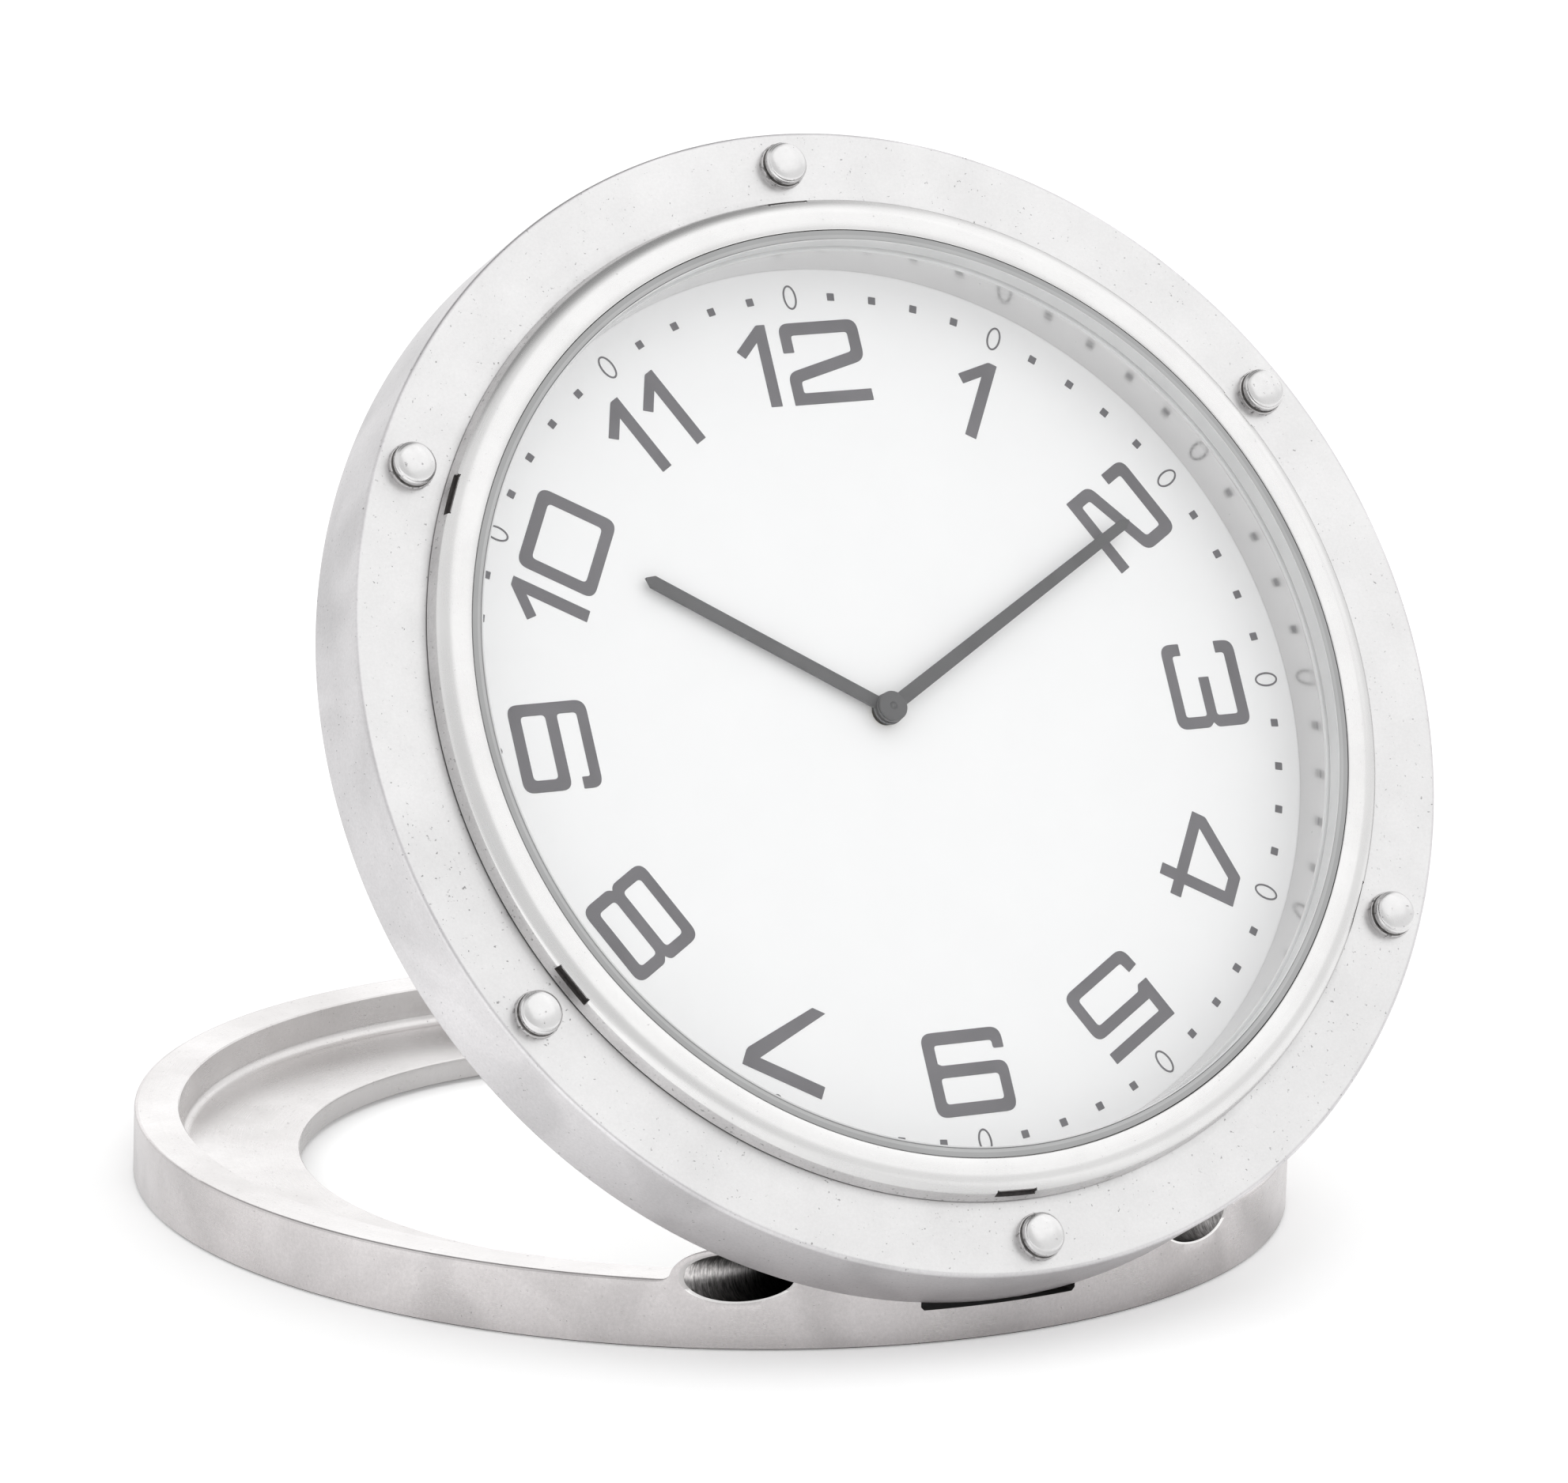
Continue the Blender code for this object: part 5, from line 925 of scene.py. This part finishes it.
hand_lacquer = plastic("hand_lacquer", (0.085, 0.085, 0.088), 0.42, 5200.0, ON_CLOCK, shift=0.14)
for name, body, loop, hole, low, angle in (
        ("hour_hand", "hour_group", blade_loop(0.0202, 0.000475, 0.000475, 0.00115), 0.0008,
         0.00055, 304.0),
        ("minute_hand", "minute_group", blade_loop(0.0259, 0.000525, 0.0004, 0.0011), 0.0004,
         0.00098, 62.1)):
    mesh = slab([loop, circle(hole, 32)[::-1]], low, low + HAND_THICK)
    mesh = moved(mesh, Matrix.Rotation(-math.radians(angle), 4, "Z"))
    piece = hang(name + "_lacquered", mesh, hand_lacquer, body, even=False)
    soft_edge(piece, "rolled_edge", 0.00004)
cap = [[0, 0.00128], [0.00102, 0.00128], [0.0011, 0.00134], [0.0011, 0.00143], [0.00104, 0.00148],
       [0.0003, 0.001475], [0.00024, 0.00141], [0.0002, 0.00141], [0.00014, 0.00146], [0, 0.00148]]
hang("hand_cap_turned", turned(cap, 72), hand_lacquer, "minute_group")


# Wall ring: a thin steel ring, turned and polished, that fills the wall between dial and glass. It
# stands on the dial and mirrors its marks.
wall = eased([
    (0.03342, 0.00003, 0), (0.0335, 0.00366, 0.00005), (0.0343, 0.00366, 0),
    (0.0343, 0.00003, 0)], 3)
wall_steel = steel(
    "wall_steel_polished", (0.74, 0.735, 0.735), (0.7, 0.695, 0.695), 0.16, ON_CLOCK, lines=5000.0,
    line_bump=0.5e-6, pit_share=0.75, pit_dark=0.1)
hang("wall_ring_polished", turned(wall), wall_steel, node="rehaut_ring")


# Gasket: a moulded L of grey rubber that lies in the bezel, round and under the glass, with a
# sloping lip against it. The part under the glass and the lip take paler copies of the rubber:
# painted light.
LIP_FOOT = 0.0052
seal = eased([
    (0.03437, 0.0055, 0.00004), (0.03437, 0.00376, 0.00004), (0.03345, 0.00376, 0.00004),
    (0.03345, 0.00406, 0.00004), (0.03373, 0.00406, 0.0), (0.03373, 0.00546, 0.00002),
    (0.03401, 0.0055, 0.00002)], 3)
seal_grey, seal_lit_under_glass, seal_lip_lit = [
    plastic(name, colour, rough, 1800.0, ON_CLOCK) for name, colour, rough in (
        ("gasket_rubber", (0.365, 0.367, 0.367), 0.45),
        ("gasket_lit_under_glass", (0.74, 0.742, 0.742), 0.5),
        ("gasket_lip_lit", (0.45, 0.452, 0.452), 0.45))]
mesh = turned(seal)
x, y, z, away = face_places(mesh)
piece = hang("crystal_gasket_moulded", mesh, seal_grey)
other_finish(piece, seal_lit_under_glass, z < LIP_FOOT)
other_finish(piece, seal_lip_lit, (z >= LIP_FOOT) & (away < 0.034))


# Glass: a flat disc of mineral glass, polished and clear, with a ground edge. The gasket holds it
# in the bezel.
GLASS_RADIUS = 0.0337
pane = eased([
    (0, 0.00416, 0), (GLASS_RADIUS, 0.00416, 0.00006), (GLASS_RADIUS, 0.00556, 0.0001),
    (0, 0.00556, 0)], 3)
crystal_glass, make = recipe("crystal_glass_clear")
haze = make.ramp(make.noise(make.on_seat(ON_CLOCK), 60.0, 4.0), 0.0, 1.0, 0.01, 0.05)
polish = make.add("BsdfGlossy", {"Color": (1, 1, 1, 1), "Roughness": haze})
clear = make.add("BsdfTransparent", {"Color": (0.998, 0.999, 0.999, 1)})
outside = make.math("SUBTRACT", 1.0, make.add("NewGeometry").outputs["Backfacing"])
mirror = make.times(make.add("Fresnel", {"IOR": 1.5}).outputs[0], outside)
make.own_surface(make.add("MixShader", {0: mirror, 1: clear.outputs[0], 2: polish.outputs[0]}))
ground_edge = plastic("crystal_edge_ground", (0.67, 0.672, 0.672), 0.35, 2400.0, ON_CLOCK)
mesh = turned(pane)
x, y, z, away = face_places(mesh)
piece = hang("crystal_ground", mesh, crystal_glass)
other_finish(piece, ground_edge, away > GLASS_RADIUS - 0.00015)


# Bezel: a polished ring whose spigot drops into the case, with a low skirt and a rounded shoulder.
# Six short narrow slots are milled in the top of its skirt, to grip it when it is pressed on.
BEZEL_EDGE = 0.0369
BEZEL_TOP = 0.00556
SLOT_BITE = 0.00017
SLOT_LENGTH = 0.0032
NOTCH_FLOOR = 0.0046
NOTCH_END = 0.00018
SHOULDER_FOOT = 0.00498
SHOULDER_INNER = 0.0356
notch_angles = np.radians([358.5, 59.7, 121.0, 182.4, 240.1, 298.2])
near = [angle + np.radians(np.arange(-2.8, 2.81, 0.07)) for angle in notch_angles]
bearing = np.concatenate([np.radians(np.arange(0, 360, 0.5)), *near]) % TAU
bearing = np.unique(np.round(bearing, 6))[:, None]


def from_notch(bearing):
    """The angle from the nearest notch's middle, for a column of angles."""
    return np.min(np.abs((bearing - notch_angles[None, :] + math.pi) % TAU - math.pi), axis=1)


def shoulder_height(share):
    """Height at a share of the way in from the edge: a parabola that ends level."""
    return SHOULDER_FOOT + (BEZEL_TOP - SHOULDER_FOOT) * (1 - (1 - share) ** 2.0)


# The slot's depth is even along its length and rises at its two rounded ends
from_end = SLOT_LENGTH / 2 - BEZEL_EDGE * from_notch(bearing)[:, None]
bite = SLOT_BITE * np.clip(from_end / NOTCH_END, 0, 1) ** 0.6
limit = np.where(from_end > 0, BEZEL_EDGE - bite, 1.0)
skirt = 0.03713 - 0.00023 * (NOTCH_FLOOR - 0.00388) / 0.00117
body = np.array([
    [0.03443, 0.0055], [0.03443, 0.0023], [0.0356, 0.0023], [0.0356, 0.00388], [0.03709, 0.00388],
    [0.03713, 0.00392], [skirt + 0.00006, 0.0043], [skirt, NOTCH_FLOOR]])
edge_radius = np.minimum(BEZEL_EDGE, limit)
shoulder_width = BEZEL_EDGE - SHOULDER_INNER
edge_height = shoulder_height(np.clip((BEZEL_EDGE - edge_radius) / shoulder_width, 0, 1))
inward = np.array([0.17, 0.24, 0.32, 0.4, 0.5, 0.6, 0.7, 0.8, 0.9, 1.0])[:, None]
top = np.vstack([
    np.hstack([BEZEL_EDGE - shoulder_width * inward, shoulder_height(inward)]),
    [[0.0351, BEZEL_TOP], [0.03452, BEZEL_TOP - 0.00001], [0.03445, BEZEL_TOP - 0.00004]]])
radius = side_by_side(body[None, :, 0], np.minimum(skirt, limit), edge_radius,
                      edge_radius - 0.00004, top[None, :, 0])
height = side_by_side(body[None, :, 1], [[NOTCH_FLOOR]], edge_height - 0.00006,
                      edge_height + 0.00004, top[None, :, 1])
bezel_steel = steel(
    "bezel_steel_polished", (0.73, 0.725, 0.722), (0.695, 0.69, 0.687), 0.24, ON_CLOCK,
    lines=12000.0, line_bump=0.25e-6, pit_size=3400.0, pit_share=0.73, pit_dark=0.2, cloud=200.0,
    line_sheen=0.018)
skirt_steel = steel(
    "bezel_skirt_blasted", (0.75, 0.74, 0.74), (0.64, 0.63, 0.63), 0.38, ON_CLOCK, lines=12000.0,
    line_bump=0.25e-6, pit_size=3000.0, pit_share=0.66, pit_dark=0.35, cloud=260.0, uneven=0.06)
mesh = skin(np.stack([radius * np.sin(bearing), radius * np.cos(bearing), height], -1))
x, y, z, away = face_places(mesh)
piece = hang("bezel_polished", mesh, bezel_steel)
in_notch = from_notch(np.arctan2(x, y)[:, None]) * BEZEL_EDGE < SLOT_LENGTH / 2
in_notch &= (z > NOTCH_FLOOR - HAIR) & (away > BEZEL_EDGE - SLOT_BITE - 2 * HAIR)
on_skirt = (away > BEZEL_EDGE - 0.00006) & (z < 0.00494) & ~in_notch
# The notches are filled dark: dirt, and painted shade in the groove
other_finish(piece, dirt_and_shade("notch_dirt_and_shade", (0.03, 0.026, 0.025), 0.6, 2600.0), in_notch)
other_finish(piece, skirt_steel, on_skirt)


# Studs: six polished turned pins pressed into the flange, each with a foot, a thin neck and a
# low domed head.
STUD_CIRCLE = 0.03992
NECK_FOOT = 0.00033
NECK_TOP = 0.00053
HEAD_SIDE_TOP = 0.00086
dome = np.linspace(0, 1, 17)[:, None] * math.pi / 2
crown = np.hstack([0.00146 * np.cos(dome), 0.00104 + 0.00036 * np.sin(dome)])
corner_turn = np.linspace(0, 1, 6)[:-1, None] * math.radians(75)
round_corner = [0.00138, 0.00084] + 0.0002 * np.hstack([np.cos(corner_turn), np.sin(corner_turn)])
stud_profile = np.vstack([
    [[0, -0.0001], [0.00166, -0.0001], [0.0017, 0.00004], [0.0017, 0.00027], [0.00167, 0.00032],
     [0.00162, 0.00034], [0.00142, 0.00034], [0.00142, 0.00052], [0.00153, 0.00053],
     [0.00157, 0.00058]], round_corner, crown])
stud_steel = steel(
    "stud_steel_polished", (0.72, 0.715, 0.715), (0.66, 0.655, 0.655), 0.21, ON_CLOCK, lines=6000.0,
    line_bump=0.1e-6, pit_size=2400.0, pit_share=0.7, pit_dark=0.4, cloud=500.0, line_sheen=0.02)
# The neck under each head is darkened: grime, and painted shade under the head
neck_grime_and_shade = dirt_and_shade("stud_neck_grime", (0.13, 0.124, 0.12), 0.5, 3000.0)
# The foot is dull steel, and the head's side up to HEAD_SIDE_TOP takes it too as painted shade
foot_and_side_steel = steel(
    "stud_foot_dull", (0.62, 0.61, 0.61), (0.48, 0.47, 0.47), 0.34, ON_CLOCK, lines=6000.0,
    line_bump=0.4e-6, pit_size=2600.0, pit_share=0.6, pit_dark=0.5, cloud=900.0, uneven=0.08)
for hour in (12, 10, 8, 6, 4, 2):
    angle = math.radians(30 * hour)
    place = (STUD_CIRCLE * math.sin(angle), STUD_CIRCLE * math.cos(angle), CASE_FRONT)
    mesh = turned(stud_profile, 72)
    x, y, z, away = face_places(mesh)
    neck = (away < 0.0016) & (z > NECK_FOOT) & (z < NECK_TOP)
    mesh = moved(mesh, Matrix.Translation(place))
    piece = hang(f"stud_{hour}_domed", mesh, stud_steel)
    other_finish(piece, neck_grime_and_shade, neck)
    other_finish(piece, foot_and_side_steel, (z < HEAD_SIDE_TOP) & ~neck)
